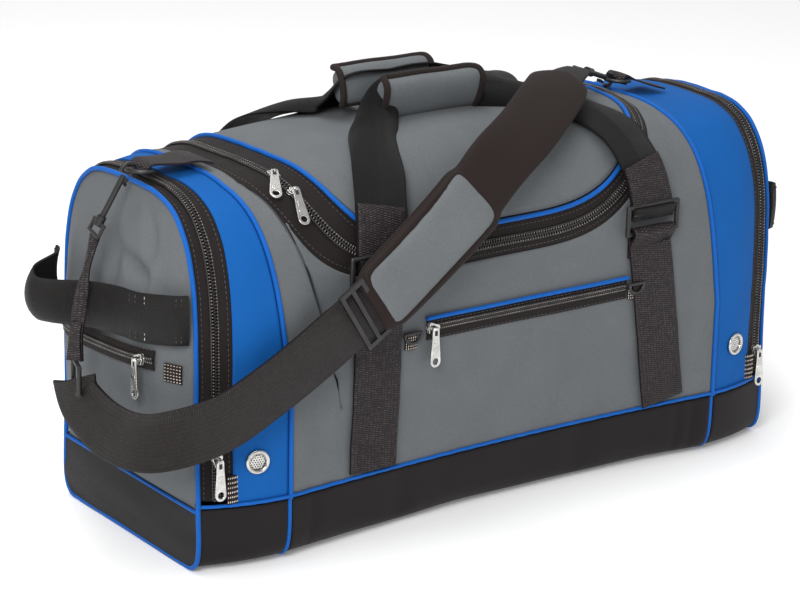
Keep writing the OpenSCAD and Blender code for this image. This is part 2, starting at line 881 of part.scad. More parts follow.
// Pull: a cross rod along Y, two arms, and a long tab towards -X with a round hole near its end,
// hanging below the slider's plane by droop
module pull(droop = 0) {
    arm = 9;
    color(steel)
        translate([0, 0, rod_z])
            rotate([0, -droop, 0]) {
                rotate([90, 0, 0])
                    cylinder(h = 8, r = rod_r, center = true, $fn = 32);
                for (s = [-1, 1])
                    translate([-arm / 2, s * 3, 0])
                        cube([arm, 2, 2], center = true);
                difference() {
                    union() {
                        translate([-pull_l + pull_w / 2, -pull_w / 2, -1])
                            cube([pull_l - pull_w / 2 - arm + 1, pull_w, 2]);
                        translate([-pull_l + pull_w / 2, 0, -1])
                            cylinder(h = 2, r = pull_w / 2, $fn = 48);
                    }
                    translate([-pull_l + pull_w / 2, 0, -2])
                        cylinder(h = 4, r = 3, $fn = 48);
                }
            }
}

// Direction of the lid zip at t, as a spin of the local frame
function rim_spin(t) =
    let (q = rim(t, coil_line), n = skin_normal(q.x, q.y),
        d = skin(rim(t - 1, coil_line).x, rim(t - 1, coil_line).y)
            - skin(rim(t + 1, coil_line).x, rim(t + 1, coil_line).y))
    atan2(d.y * n.z - d.z * n.y, d.x);

module at_rim(t, spin) {
    q = rim(t, coil_line);
    on_skin(q.x, q.y, slider_lift, spin)
        children();
}

module at_pocket(spin) {
    x = pocket_x[0] + 5;
    on_skin(x, front_angle(x, pocket_z - 8.5), 3.2, spin)
        children();
}

module at_end(side, z, spin) {
    x = side * (end_x - coil_back);
    on_skin(x, front_angle(x, z), end_slider_lift, spin)
        children();
}

module at_flap() {
    y = flap_zip[0];
    translate([-flap_out(y, flap_zip_z(y) - 4) - 4.3, y, flap_zip_z(y) - 4])
        rotate([0, -90, 0])
            children();
}

// Lid sliders: place on the zip line, turn of the pull and how far it droops
left_slider = [145, 62, 9];
right_slider = [141, 80, 9];

module main_slider(q) {
    spin = rim_spin(q[0]);
    at_rim(q[0], spin)
        slider(q[1] - spin);
}

module main_pull(q) {
    at_rim(q[0], q[1])
        pull(q[2]);
}

module pocket_slider() {
    at_pocket(0)
        slider(90);
}

module pocket_pull() {
    at_pocket(90)
        pull();
}

module end_slider(side) {
    at_end(side, side < 0 ? 106 : 92, 90)
        slider();
}

module end_pull(side) {
    at_end(side, side < 0 ? 106 : 92, 90)
        pull();
}

module flap_slider() {
    at_flap()
        rotate([0, 0, 90])
            slider(-90);
}

module flap_pull() {
    at_flap()
        pull();
}

base_tub();
base_board();
end_bases();
front_panel();
back_panel();
side_band(-1);  // side_band_left
side_band(1);  // side_band_right
end_dividers();
main_zip_lower();
end_zip_inner();
body_piping();
front_straps();
back_straps();
pocket_zip();
pocket_piping();
pocket_lining();
webbing_tabs();
d_rings();
pocket_ring(0);  // pocket_ring_left
pocket_ring(1);  // pocket_ring_right
vents();
lid_panel();
lid_piping();
main_zip_upper();
front_handle_webbing();
front_handle_rings();
front_grip();
back_handle_webbing();
back_handle_rings();
back_grip();
end_flap(-1);  // end_flap_left
flap_piping(-1);  // flap_piping_left
end_zip_outer(-1);  // end_zip_left
grab_handle(-1);  // grab_handle_left
flap_pocket_zip();
end_flap(1);  // end_flap_right
flap_piping(1);  // flap_piping_right
end_zip_outer(1);  // end_zip_right
grab_handle(1);  // grab_handle_right
strap_webbing();
strap_tail();
strap_pad();
strap_adjuster();
strap_loop();
hook_left();
hook_right();
hook_gate_left();
hook_gate_right();
main_slider(left_slider);  // main_slider_left
main_slider(right_slider);  // main_slider_right
pocket_slider();
end_slider(-1);  // end_slider_left
end_slider(1);  // end_slider_right
flap_slider();
main_pull(left_slider);  // main_pull_left
main_pull(right_slider);  // main_pull_right
pocket_pull();
end_pull(-1);  // end_pull_left
end_pull(1);  // end_pull_right
flap_pull();
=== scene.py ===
"""Looks of a sports duffel bag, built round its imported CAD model.

The soft pieces are laid on the same skin as the CAD model: a point is a station x along the bag and
an angle a round it, 0 at the front, 90 at the top, 180 at the back and -90 at the base.
Lengths inside this script are millimetres; meshes are written in metres.
"""

import math

import bpy
import numpy as np
from mathutils import Matrix, Vector
from mathutils.kdtree import KDTree


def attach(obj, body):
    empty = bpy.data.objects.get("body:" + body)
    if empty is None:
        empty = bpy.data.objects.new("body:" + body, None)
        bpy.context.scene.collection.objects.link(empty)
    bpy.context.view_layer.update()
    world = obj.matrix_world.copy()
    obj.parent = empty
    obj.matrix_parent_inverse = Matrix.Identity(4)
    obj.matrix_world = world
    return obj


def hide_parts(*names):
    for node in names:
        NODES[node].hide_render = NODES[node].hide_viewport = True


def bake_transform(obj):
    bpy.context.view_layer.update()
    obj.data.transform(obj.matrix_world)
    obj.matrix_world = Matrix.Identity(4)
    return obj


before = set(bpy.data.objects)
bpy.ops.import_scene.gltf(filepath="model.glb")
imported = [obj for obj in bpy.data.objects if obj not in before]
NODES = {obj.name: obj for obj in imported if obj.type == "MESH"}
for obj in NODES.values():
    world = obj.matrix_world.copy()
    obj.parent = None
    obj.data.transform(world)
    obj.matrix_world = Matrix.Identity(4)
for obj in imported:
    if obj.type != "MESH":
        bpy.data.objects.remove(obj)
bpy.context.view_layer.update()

MM = 0.001

# ---------------------------------------------------------------- sizes, as in the CAD model

END_X = 330.0
SEAM_X = 246.0
BELLY_Z = 156.0
TOP_N = 3.5
BASE_N = 12.0
BAG_H, SEAM_H, END_H = 357.0, 338.0, 331.0
MID_W, SEAM_W, END_W = 130.0, 134.0, 111.0
MID_B, SEAM_B, END_B = 118.0, 136.0, 119.0
BASE_H = 60.0
FLAP_BULGE = 27.0
LEAN = 28.0
PIPING_R = 2.2
BASE_CORD_R = 1.7
SEAM_GAP = PIPING_R + 0.4
BASE_A = -31.6
HEM_A = 0.7
LID_X = -5.0
HINGE_A = 132.0
LID_LINE = (205.0, 200.0, 32.0)
COIL_LINE = (230.0, 206.0, 27.4)
BAND_LINE = (257.0, 214.0, 24.0)
COIL_BACK = 14.0
BAND_BACK = 28.0
RING_X, RING_Y, RING_Z, RING_H = 157.0, 136.0, 243.0, 26.0
ROD_R = 2.4
WEB_W = 50.0
POCKET_X = (-102.0, 131.0)
POCKET_Z = 200.0
POCKET_DROP = 8.5
SIDES = ((-1, "left"), (1, "right"))
FLAP_ZIP_Y = (-62.0, 98.0)


def mix(a, b, t):
    return a + (b - a) * t


def unit(v):
    v = np.asarray(v, float)
    return v / np.maximum(np.linalg.norm(v, axis=-1, keepdims=True), 1e-9)


def rise(t, lo, hi):
    """0 below lo, 1 above hi, smooth between."""
    t = np.clip((np.asarray(t, float) - lo) / (hi - lo), 0, 1)
    return t * t * (3 - 2 * t)


def along(x, middle, seam, end):
    x = np.abs(x)
    t = (x - SEAM_X) / (END_X - SEAM_X)
    return np.where(x <= SEAM_X, mix(middle, seam, (x / SEAM_X) ** 2), mix(end, seam, 1 - t * t))


def squircle(a, n):
    return (np.abs(np.cos(a)) ** n + np.abs(np.sin(a)) ** n) ** (-1 / n)


def top_z(x):
    return along(x, BAG_H, SEAM_H, END_H)


def bare_skin(x, a):
    """Point of the skin at station x and angle a in degrees."""
    x, a = np.broadcast_arrays(np.asarray(x, float), np.radians(a))
    up = np.sin(a) > 0
    r = np.where(up, squircle(a, TOP_N), squircle(a, BASE_N))
    z = BELLY_Z + np.where(up, top_z(x) - BELLY_Z, BELLY_Z) * np.sin(a) * r
    low = np.maximum(0, 1 - z / BELLY_Z) ** 1.5
    half = mix(along(x, MID_W, SEAM_W, END_W), along(x, MID_B, SEAM_B, END_B), low)
    return np.stack([x, -half * np.cos(a) * r, z], -1)


def skin_normal(x, a):
    d = bare_skin(x, np.asarray(a) + 0.5) - bare_skin(x, np.asarray(a) - 0.5)
    return unit(np.stack([np.zeros(d.shape[:-1]), -d[..., 2], d[..., 1]], -1))


def slope_normal(x, a):
    """Outward direction of the skin with its slope along the bag taken in."""
    d = bare_skin(x + 4, a) - bare_skin(x - 4, a)
    round_way = bare_skin(x, a + 0.5) - bare_skin(x, a - 0.5)
    return unit(np.cross(d, round_way))


def front_angle(x, z):
    """Angle at which the front of the skin reaches height z."""
    x, z = np.broadcast_arrays(np.asarray(x, float), np.asarray(z, float))
    up = z > BELLY_Z
    n = np.where(up, TOP_N, BASE_N)
    q = np.clip(np.where(up, (z - BELLY_Z) / (top_z(x) - BELLY_Z), 1 - z / BELLY_Z), 0, 0.9999)
    return np.where(up, 1, -1) * np.degrees(np.arctan(q / (1 - q**n) ** (1 / n)))


def rim(t, line, grow=0.0):
    """Station and angle of a lid line: t is 180 at the left end of the hinge, 0 at the right end."""
    t = np.radians(t)
    left = np.cos(t) < 0
    r = np.where(left, squircle(t, 5), squircle(t, 3.4))
    reach = np.where(left, line[0], line[1]) + grow
    return (LID_X + reach * np.cos(t) * r,
            HINGE_A - (HINGE_A - line[2] + grow * 0.35) * np.sin(t) * r)


def rim_angle(x, line, grow=0.0):
    """Angle at which a lid line crosses station x."""
    x = np.asarray(x, float)
    left = x < LID_X
    q = np.clip(np.abs(x - LID_X) / (np.where(left, line[0], line[1]) + grow), 0, 1)
    n = np.where(left, 5.0, 3.4)
    return HINGE_A - (HINGE_A - line[2] + grow * 0.35) * (1 - q**n) ** (1 / n)


def seam_lean(a):
    return -LEAN * np.clip((90 - np.abs(np.asarray(a, float) - 90)) / 62, 0, 1)


def seam_at(side, a):
    return side * (SEAM_X + 2) + seam_lean(a)


# ---------------------------------------------------------------- soft relief of the cloth

# Dents and swells of the filled bag: station, angle, reach along x, reach in degrees, height
FOLDS = (
    (-215, 8, 16, 34, -2.6),
    (-190, -20, 30, 10, -2.0),
    (-60, -22, 90, 9, -1.8),
    (110, -20, 80, 9, -2.0),
    (215, -12, 14, 22, -2.2),
    (-130, 22, 40, 12, 1.6),
    (60, 0, 90, 16, 2.2),
    (-40, 84, 70, 22, 2.0),
    (110, 78, 60, 18, 1.6),
    (-120, 92, 34, 26, -2.0),
    (30, 180, 120, 24, 2.2),
    (-160, 196, 50, 14, -2.2),
    (170, 190, 40, 20, -2.0),
    (-288, 20, 14, 34, 1.2),
    (282, 30, 14, 40, 1.2),
    (-262, 40, 10, 30, -1.0),
)


def ripple(u, v, seed):
    """Smooth seeded undulation between -1 and 1."""
    rng = np.random.default_rng(seed)
    total = np.zeros(np.broadcast(u, v).shape)
    for _ in range(7):
        ku, kv = rng.normal(size=2)
        total = total + np.sin(ku * u + kv * v + rng.uniform(0, 2 * math.pi))
    return total / 4


def puff(x, a):
    """How far the cloth stands off the bare skin."""
    x, a = np.broadcast_arrays(np.asarray(x, float), np.asarray(a, float))
    lift = np.zeros(x.shape)
    for fx, fa, rx, ra, h in FOLDS:
        lift += h * np.exp(-(((x - fx) / rx) ** 2) - ((a - fa) / ra) ** 2)
    lift += 0.7 * ripple(x / 46, a / 9, 4) + 0.35 * ripple(x / 17, a / 4, 9)
    to_base = np.minimum(np.abs(a - BASE_A), np.abs(a - (180 - BASE_A)))
    to_seam = np.minimum(np.abs(x - seam_at(-1, a)), np.abs(x - seam_at(1, a)))
    lift *= rise(np.minimum(to_base * 2.4, to_seam), 0, 26)
    lift += 0.35 * np.sin(x / 2.9 + 2 * np.sin(x / 23)) * np.exp(-to_base / 3)
    return lift


def cloth(x, a, out=0.0):
    """Point of the soft surface, out millimetres above it."""
    return bare_skin(x, a) + (out + puff(x, a))[..., None] * skin_normal(x, a)


def spline(points, t):
    """Smooth curve through control points, t from 0 to 1."""
    p = np.asarray(points, float)
    n = len(p) - 1
    t = np.asarray(t, float) * n
    i = np.minimum(n - 1, np.floor(t)).astype(int)
    f = (t - i)[..., None]
    a, b, c, d = p[np.maximum(0, i - 1)], p[i], p[i + 1], p[np.minimum(n, i + 2)]
    return 0.5 * (2 * b + (c - a) * f + (2 * a - 5 * b + 4 * c - d) * f**2
                  + (3 * b - a - 3 * c + d) * f**3)


# ---------------------------------------------------------------- materials


class Graph:
    """Small helper that writes a node material."""

    def __init__(self, name):
        self.material = bpy.data.materials.new(name)
        self.material.use_nodes = True
        self.tree = self.material.node_tree
        self.shader = self.tree.nodes["Principled BSDF"]
        self.place = None

    def node(self, kind, **values):
        n = self.tree.nodes.new(kind)
        for key, value in values.items():
            setattr(n, key, value)
        return n

    def put(self, socket, value):
        if isinstance(value, bpy.types.NodeSocket):
            self.tree.links.new(value, socket)
        else:
            socket.default_value = value

    def math(self, operation, *values):
        n = self.node("ShaderNodeMath", operation=operation)
        for socket, value in zip(n.inputs, values):
            self.put(socket, value)
        return n.outputs[0]

    def wave(self, value, shift=0.0):
        """0 to 1 and back with a period of 1."""
        turned = self.math("MULTIPLY", self.math("ADD", value, shift), 2 * math.pi)
        return self.math("MULTIPLY_ADD", self.math("SINE", turned), 0.5, 0.5)

    def uv(self):
        parts = self.node("ShaderNodeSeparateXYZ")
        self.put(parts.inputs[0], self.node("ShaderNodeUVMap").outputs[0])
        return parts.outputs[0], parts.outputs[1]

    def noise(self, scale, detail=3.0, roughness=0.5):
        if self.place is None:
            self.place = self.node("ShaderNodeTexCoord").outputs["Object"]
        n = self.node("ShaderNodeTexNoise")
        self.put(n.inputs["Vector"], self.place)
        n.inputs["Scale"].default_value = scale
        n.inputs["Detail"].default_value = detail
        n.inputs["Roughness"].default_value = roughness
        return n.outputs["Fac"]

    def blend(self, share, a, b):
        n = self.node("ShaderNodeMix", data_type="RGBA")
        self.put(n.inputs["Factor"], share)
        self.put(n.inputs["A"], a if isinstance(a, bpy.types.NodeSocket) else (*a, 1))
        self.put(n.inputs["B"], b if isinstance(b, bpy.types.NodeSocket) else (*b, 1))
        return n.outputs["Result"]

    def ramp(self, value, lo, hi):
        n = self.node("ShaderNodeMapRange")
        self.put(n.inputs[0], value)
        n.inputs[1].default_value, n.inputs[2].default_value = lo, hi
        return n.outputs[0]

    def bump(self, height, strength, distance):
        n = self.node("ShaderNodeBump")
        n.inputs["Strength"].default_value = strength
        n.inputs["Distance"].default_value = distance
        self.put(n.inputs["Height"], height)
        return n.outputs[0]

    def finish(self, colour, roughness, normal=None, metallic=0.0, sheen=0.0, specular=0.5):
        self.put(self.shader.inputs["Base Color"], colour)
        self.put(self.shader.inputs["Roughness"], roughness)
        self.shader.inputs["Metallic"].default_value = metallic
        self.shader.inputs["Sheen Weight"].default_value = sheen
        self.shader.inputs["Sheen Roughness"].default_value = 0.4
        self.shader.inputs["Specular IOR Level"].default_value = specular
        if normal is not None:
            self.put(self.shader.inputs["Normal"], normal)
        return self.material


def shade(colour, share):
    return tuple(c * share for c in colour)


def woven(name, colour, pitch=0.0008, depth=0.35, roughness=0.78, sheen=0.04, mottle=0.14):
    """Plain weave: threads over and under each other, mottled colour and roughness, and painted shade
    in the low gaps between the threads.
    """
    g = Graph(name)
    u, v = g.uv()
    tu, tv = g.math("DIVIDE", u, pitch), g.math("DIVIDE", v, pitch)
    over = g.wave(g.math("MULTIPLY", g.math("ADD", g.math("FLOOR", tu), tv), 0.5))
    warp = g.math("MULTIPLY", g.math("PINGPONG", tu, 0.5), over)
    under = g.math("SUBTRACT", 1.0, over)
    weft = g.math("MULTIPLY", g.math("PINGPONG", tv, 0.5), under)
    thread = g.math("MULTIPLY", g.math("MAXIMUM", warp, weft), 2.0)
    grain = g.noise(900, 2)
    height = g.math("MULTIPLY_ADD", grain, 0.5, thread)
    cloudy = g.ramp(g.noise(26, 4), 0.3, 0.7)
    fleck = g.ramp(g.noise(520, 3, 0.65), 0.32, 0.68)
    tone = g.math("MULTIPLY_ADD", fleck, 0.65, g.math("MULTIPLY", cloudy, 0.35))
    base = g.blend(tone, shade(colour, 1 - mottle), shade(colour, 1 + mottle))
    # painted shade: the low gaps between the threads are darkened towards 0.55 of the colour
    base = g.blend(g.math("MULTIPLY", g.ramp(thread, 0.35, 0.0), 0.30), base, shade(colour, 0.55))
    rough = g.math("MULTIPLY_ADD", fleck, 0.12, roughness - 0.06)
    return g.finish(base, rough, g.bump(height, depth, 0.0003), sheen=sheen, specular=0.18)


def ribbed(name, colour, thread, pitch=0.0021, column=0.0036, depth=0.9):
    """Webbing: ribs across the strap, bound in columns along it, with painted shade in the grooves and
    pale painted glints on the rib tops.
    """
    g = Graph(name)
    u, v = g.uv()
    col = g.math("FLOOR", g.math("DIVIDE", v, column))
    offset = g.math("MULTIPLY", g.math("MODULO", col, 2.0), 0.5)
    rib = g.wave(g.math("DIVIDE", u, pitch), offset)
    edge = g.math("PINGPONG", g.math("DIVIDE", v, column), 0.5)
    bound = g.ramp(edge, 0.0, 0.16)
    twill = g.wave(g.math("DIVIDE", g.math("ADD", u, g.math("MULTIPLY", v, 1.4)), pitch * 0.5))
    body = g.math("MULTIPLY", g.math("POWER", rib, 0.7), g.math("MULTIPLY_ADD", bound, 0.55, 0.45))
    height = g.math("MULTIPLY_ADD", twill, 0.16, body)
    # painted highlight: a noise-broken mask of pale glints on the rib tops, blended in with the thread
    # colour below
    wear_and_glint = g.math("MULTIPLY", g.ramp(body, 0.72, 1.0), g.ramp(g.noise(340, 3), 0.40, 0.62))
    # painted shade: the grooves between the ribs and the column edges are darkened towards 0.35 of the
    # colour
    base = g.blend(g.ramp(body, 0.1, 0.8), shade(colour, 0.35), colour)
    base = g.blend(g.math("MULTIPLY", wear_and_glint, 0.75), base, thread)
    rough = g.math("MULTIPLY_ADD", g.noise(60, 3), 0.2, 0.42)
    return g.finish(base, rough, g.bump(height, depth, 0.0006), specular=0.28)


def plastic(name, colour, roughness=0.40):
    """Moulded plastic: fine pebbled skin, a little dust and rubbed shine."""
    g = Graph(name)
    pebble = g.noise(1400, 2)
    wear_and_glint = g.ramp(g.noise(70, 4), 0.42, 0.66)
    base = g.blend(wear_and_glint, colour, shade(colour, 1.8))
    rough = g.math("MULTIPLY_ADD", wear_and_glint, -0.14, roughness + 0.08)
    return g.finish(base, rough, g.bump(pebble, 0.18, 0.0002))


def plated(name, colour, roughness=0.2):
    """Bright plating with fine scratches and cloudy wear patches, which are rougher and darkened as a
    painted reflection of darker surroundings.
    """
    g = Graph(name)
    scratch = g.noise(2600, 4, 0.7)
    cloud = g.ramp(g.noise(140, 4), 0.35, 0.7)
    # painted reflection: the cloudy patches darken the plating towards 0.72, like grey reflections, and
    # roughen it
    base = g.blend(cloud, colour, shade(colour, 0.72))
    rough = g.math("MULTIPLY_ADD", cloud, 0.16, roughness - 0.04)
    return g.finish(base, rough, g.bump(scratch, 0.12, 0.0001), metallic=1.0)


GREY = (0.118, 0.127, 0.134)
BLUE = (0.002, 0.088, 0.330)

MAT = {
    "grey": woven("grey_polyester", GREY),
    "blue": woven("blue_polyester", BLUE, sheen=0.0, mottle=0.10),
    "pad_grey": woven("grey_pad_cloth", (0.122, 0.132, 0.139)),
    "base": woven("black_base_cloth", (0.0105, 0.0080, 0.0087), pitch=0.0011, roughness=0.66,
                  mottle=0.25),
    "lining": woven("black_lining", (0.012, 0.011, 0.012), pitch=0.0007, roughness=0.6),
    "tape": woven("zip_tape", (0.013, 0.0095, 0.0095), pitch=0.0010, depth=0.5, mottle=0.3),
    "binding": woven("black_binding", (0.017, 0.0115, 0.0105), pitch=0.0013, depth=0.6, mottle=0.3),
    "pad": woven("smooth_black_cloth", (0.0150, 0.0092, 0.0080), depth=0.3, mottle=0.15),
    "piping": woven("blue_piping", (0.002, 0.095, 0.400), pitch=0.0009, depth=0.4, roughness=0.6,
                    mottle=0.12),
    # each webbing's second colour paints the pale glints on its rib tops
    "web": ribbed("ribbed_webbing", (0.0155, 0.0105, 0.0115), (0.13, 0.10, 0.105)),
    "web_plain": ribbed("strap_webbing", (0.015, 0.0110, 0.0105), (0.055, 0.046, 0.045)),
    # near-black webbing, darkened further to take in the shadow its handle leg lies in, so part of this
    # darkness is painted shade
    "web_fine": ribbed("fine_webbing", (0.0035, 0.0025, 0.0022), (0.015, 0.011, 0.010),
                       pitch=0.0016, column=0.0030, depth=0.7),
    "coil": plastic("nylon_coil", (0.012, 0.010, 0.010), 0.3),
    # pale sewing thread on the coil; its pale colour is a painted glint along the coil
    "thread": plastic("coil_thread_glint", (0.30, 0.26, 0.22), 0.6),
    "stitch": plastic("black_thread", (0.05, 0.042, 0.042), 0.6),
    "pale_stitch": plastic("pale_thread", (0.42, 0.37, 0.33), 0.6),
    "plastic": plastic("black_acetal", (0.008, 0.0075, 0.0075)),
    "nickel": plated("bright_nickel", (0.62, 0.61, 0.585)),
    "dark": plastic("dark_mesh", (0.010, 0.010, 0.011), 0.7),
    "board": plastic("board_cover", (0.03, 0.03, 0.03), 0.6),
}

# ---------------------------------------------------------------- mesh helpers


def new_object(name, vertices, faces, material, uvs=None, inner=None, flat=()):
    """Object from millimetre vertices. inner is (first face, material) for the lining side."""
    mesh = bpy.data.meshes.new(name)
    mesh.from_pydata((np.asarray(vertices) * MM).tolist(), [], [list(f) for f in faces])
    mesh.materials.append(MAT[material])
    smooth = np.ones(len(mesh.polygons), bool)
    for lo, hi in flat:
        smooth[lo:hi] = False
    mesh.polygons.foreach_set("use_smooth", smooth)
    if inner is not None:
        mesh.materials.append(MAT[inner[1]])
        index = np.zeros(len(mesh.polygons), np.int32)
        index[inner[0]:] = 1
        mesh.polygons.foreach_set("material_index", index)
    if uvs is not None:
        layer = mesh.uv_layers.new(name="UVMap")
        loops = np.empty(len(mesh.loops), np.int32)
        mesh.loops.foreach_get("vertex_index", loops)
        layer.data.foreach_set("uv", (np.asarray(uvs)[loops] * MM).ravel())
    mesh.update()
    obj = bpy.data.objects.new(name, mesh)
    bpy.context.scene.collection.objects.link(obj)
    return obj


def grid_uv(p):
    """Distances along both ways of a grid of points."""
    du = np.linalg.norm(np.diff(p, axis=0), axis=-1)
    dv = np.linalg.norm(np.diff(p, axis=1), axis=-1)
    u = np.vstack([np.zeros((1, p.shape[1])), np.cumsum(du, 0)])
    v = np.hstack([np.zeros((p.shape[0], 1)), np.cumsum(dv, 1)])
    return np.stack([u - u.mean(), v], -1)


def grid_normals(p):
    return unit(np.cross(np.gradient(p, axis=0), np.gradient(p, axis=1)))


def sheet(name, p, thick, material, lining=None, keep=None, normals=None):
    """Closed cloth sheet from a grid of outer points; keep masks its cells."""
    nu, nw = p.shape[0] - 1, p.shape[1] - 1
    normals = grid_normals(p) if normals is None else normals
    keep = np.ones((nu, nw), bool) if keep is None else keep
    k = np.arange((nu + 1) * (nw + 1)).reshape(nu + 1, nw + 1)
    quads = np.stack([k[:-1, :-1], k[1:, :-1], k[1:, 1:], k[:-1, 1:]], -1)[keep]
    count = k.size
    edges = np.concatenate([quads[:, [i, (i + 1) % 4]] for i in range(4)])
    low, high = edges.min(1).astype(np.int64), edges.max(1)
    _, first, times = np.unique(low * count + high, return_index=True, return_counts=True)
    border = edges[first[times == 1]]
    rims = np.stack([border[:, 1], border[:, 0], border[:, 0] + count, border[:, 1] + count], -1)
    faces = np.concatenate([quads, rims, quads[:, ::-1] + count])
    flat = [(len(quads), len(quads) + len(rims))]
    points = np.concatenate([p.reshape(-1, 3), (p - normals * thick).reshape(-1, 3)])
    uv = grid_uv(p).reshape(-1, 2)
    uv = np.concatenate([uv, uv])
    used = np.zeros(len(points), bool)
    used[faces.ravel()] = True
    renumber = np.cumsum(used) - 1
    inner = (len(quads) + len(rims), lining) if lining else None
    return new_object(name, points[used], renumber[faces], material, uv[used], inner, flat)


def tangents(path):
    return unit(np.gradient(path, axis=0))


def lengths(path):
    """Distance along a path at each of its points."""
    return np.concatenate([[0], np.cumsum(np.linalg.norm(np.diff(path, axis=0), axis=1))])


def read(at, s, values):
    """Three-number values given at distances s, read at other distances."""
    return np.stack([np.interp(at, s, values[:, i]) for i in range(3)], -1)


def many(v, n):
    """The same vector n times."""
    return np.repeat(np.asarray(v, float)[None], n, 0)


def round_faces(n, m):
    """Faces of n rings of m points, with both ends capped."""
    k = np.arange(n * m).reshape(n, m)
    nxt = np.roll(k, -1, axis=1)
    body = np.stack([k[:-1], nxt[:-1], nxt[1:], k[1:]], -1).reshape(-1, 4)
    return [tuple(f) for f in body] + [tuple(k[0][::-1]), tuple(k[-1])]


def ribbon(name, path, normals, width, thick, material, bulge=0.0, cells=10, roll=None):
    """Strap along a path. bulge raises its middle; roll folds its edges back, by path point."""
    path = np.asarray(path, float)
    t = tangents(path)
    side = unit(np.cross(normals, t))
    up = np.cross(t, side)
    width = np.broadcast_to(width, len(path))
    roll = np.zeros(len(path)) if roll is None else roll
    s = np.linspace(-1, 1, cells + 1)
    turn = s[None, :] * roll[:, None]
    bend = np.maximum(np.abs(roll), 1e-4)[:, None]
    across = np.sin(turn) / np.sin(np.minimum(bend, math.pi / 2)) * np.sign(roll + 1e-9)[:, None]
    across = np.where(np.abs(roll)[:, None] < 1e-3, s[None, :], across)
    drop = (np.cos(turn) - 1) / bend * width[:, None] / 2
    lift = bulge * (1 - s[None, :] ** 2) + drop
    grid = (path[:, None] + side[:, None] * (across * width[:, None] / 2)[..., None]
            + up[:, None] * lift[..., None])
    return sheet(name, grid[:, ::-1], thick, material)


def tube(name, path, radius, material, sides=12):
    """Round cord along a path, closed at its ends."""
    path = np.asarray(path, float)
    t = tangents(path)
    ref = np.array([0.02, 0.62, 0.78]) if abs(t[:, 0]).mean() > 0.6 else np.array([1.0, 0.03, 0.02])
    a = unit(np.cross(t, ref))
    b = np.cross(t, a)
    ring = np.linspace(0, 2 * math.pi, sides, endpoint=False)
    offset = (a[:, None] * np.cos(ring)[None, :, None] + b[:, None] * np.sin(ring)[None, :, None])
    radius = np.broadcast_to(radius, len(path))
    points = path[:, None] + offset * radius[:, None, None]
    uv = np.stack(np.broadcast_arrays(lengths(path)[:, None], ring[None] * radius[:, None]), -1)
    return new_object(name, points.reshape(-1, 3), round_faces(len(path), sides), material,
                      uv.reshape(-1, 2))


def join(name, parts):
    """One object from several."""
    bpy.ops.object.select_all(action="DESELECT")
    for part in parts:
        part.select_set(True)
    bpy.context.view_layer.objects.active = parts[0]
    bpy.ops.object.join()
    parts[0].name = name
    parts[0].data.name = name
    return parts[0]


def bead(rings=4, sides=8):
    """Template of a small rounded bar: unit ellipsoid vertices and faces."""
    vertices = [(-1.0, 0.0, 0.0)]
    for i in range(1, rings):
        angle = math.pi * i / rings
        for k in range(sides):
            turn = 2 * math.pi * k / sides
            vertices.append((-math.cos(angle), math.sin(angle) * math.cos(turn),
                             math.sin(angle) * math.sin(turn)))
    vertices.append((1.0, 0.0, 0.0))
    last = len(vertices) - 1
    faces = []
    for k in range(sides):
        n = (k + 1) % sides
        faces.append((0, 1 + n, 1 + k))
        for i in range(rings - 2):
            a, b = 1 + i * sides, 1 + (i + 1) * sides
            faces.append((a + k, a + n, b + n, b + k))
        end = 1 + (rings - 2) * sides
        faces.append((end + k, end + n, last))
    return np.array(vertices), faces


BEAD = bead()


def scatter(name, places, axis_a, axis_b, size, material):
    """Copies of a small bar at places, long along axis_a and lying with axis_b upward."""
    shape, faces = BEAD
    c = np.cross(axis_b, axis_a)
    points = (places[:, None] + shape[None, :, 0:1] * size[0] * axis_a[:, None]
              + shape[None, :, 1:2] * size[1] * c[:, None]
              + shape[None, :, 2:3] * size[2] * axis_b[:, None])
    count = len(shape)
    all_faces = [tuple(i + n * count for i in f) for n in range(len(places)) for f in faces]
    return new_object(name, points.reshape(-1, 3), all_faces, material)


def walk(points, pitch, start, normals):
    """Places a fixed pitch apart along a dense path, with the path's direction and normal there."""
    points = np.asarray(points, float)
    s = lengths(points)
    at = np.arange(start, s[-1], pitch)
    way = unit(read(at + 0.5, s, points) - read(at - 0.5, s, points))
    return read(at, s, points), way, unit(read(at, s, normals))


def stitches(name, path, normals, material="stitch", length=3.0, gap=1.6, radius=0.36):
    """A row of thread stitches lying along a path."""
    place, way, up = walk(path, length + gap, gap, np.asarray(normals, float))
    return scatter(name, place, way, up, (length / 2, radius, radius), material)


def zip_half(name, path, normals, side, pitch=2.9, start=0.0, reach=3.7, high=2.3):
    """Coil of one side of a zip: teeth across the line, a cord behind them and its sewing thread."""
    place, way, up = walk(path, pitch, start, normals)
    across = np.cross(up, way) * side
    teeth = scatter(name + "_teeth", place + across * (reach * 0.42) + up * 0.2, across, up,
                    (reach * 0.78, pitch * 0.30, high * 0.6), "coil")
    path, normals = np.asarray(path), unit(normals)
    lateral = np.cross(normals, tangents(path)) * side
    back = tube(name + "_back", path + lateral * reach - normals * 0.2, 0.85, "coil", 8)
    # pale thread beads along the top of the coil, which also serve as a painted glint
    thread = scatter(name + "_thread", place + across * (reach * 0.72) + up * (high * 0.55), way, up,
                     (0.6, 0.3, 0.26), "thread")
    return [teeth, back, thread]


def small_coil(name, path, normals, reach):
    """Both halves of a pocket zip's fine coil, their teeth set between each other."""
    pitch, high = 2.2, 1.2
    return (zip_half(name + "_a", path, normals, 1, pitch, 0.0, reach, high)
            + zip_half(name + "_b", path, normals, -1, pitch, pitch / 2, reach, high))


def done(obj, body, replaced=()):
    """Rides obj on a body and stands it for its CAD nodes."""
    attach(obj, body)
    if replaced:
        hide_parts(*replaced)
    return obj


def steps(lo, hi, spacing, least=8):
    return np.linspace(lo, hi, max(least, int(abs(hi - lo) / spacing)) + 1)


# ---------------------------------------------------------------- the shell

CELL = 4.0


def count(length):
    return int(length / CELL)


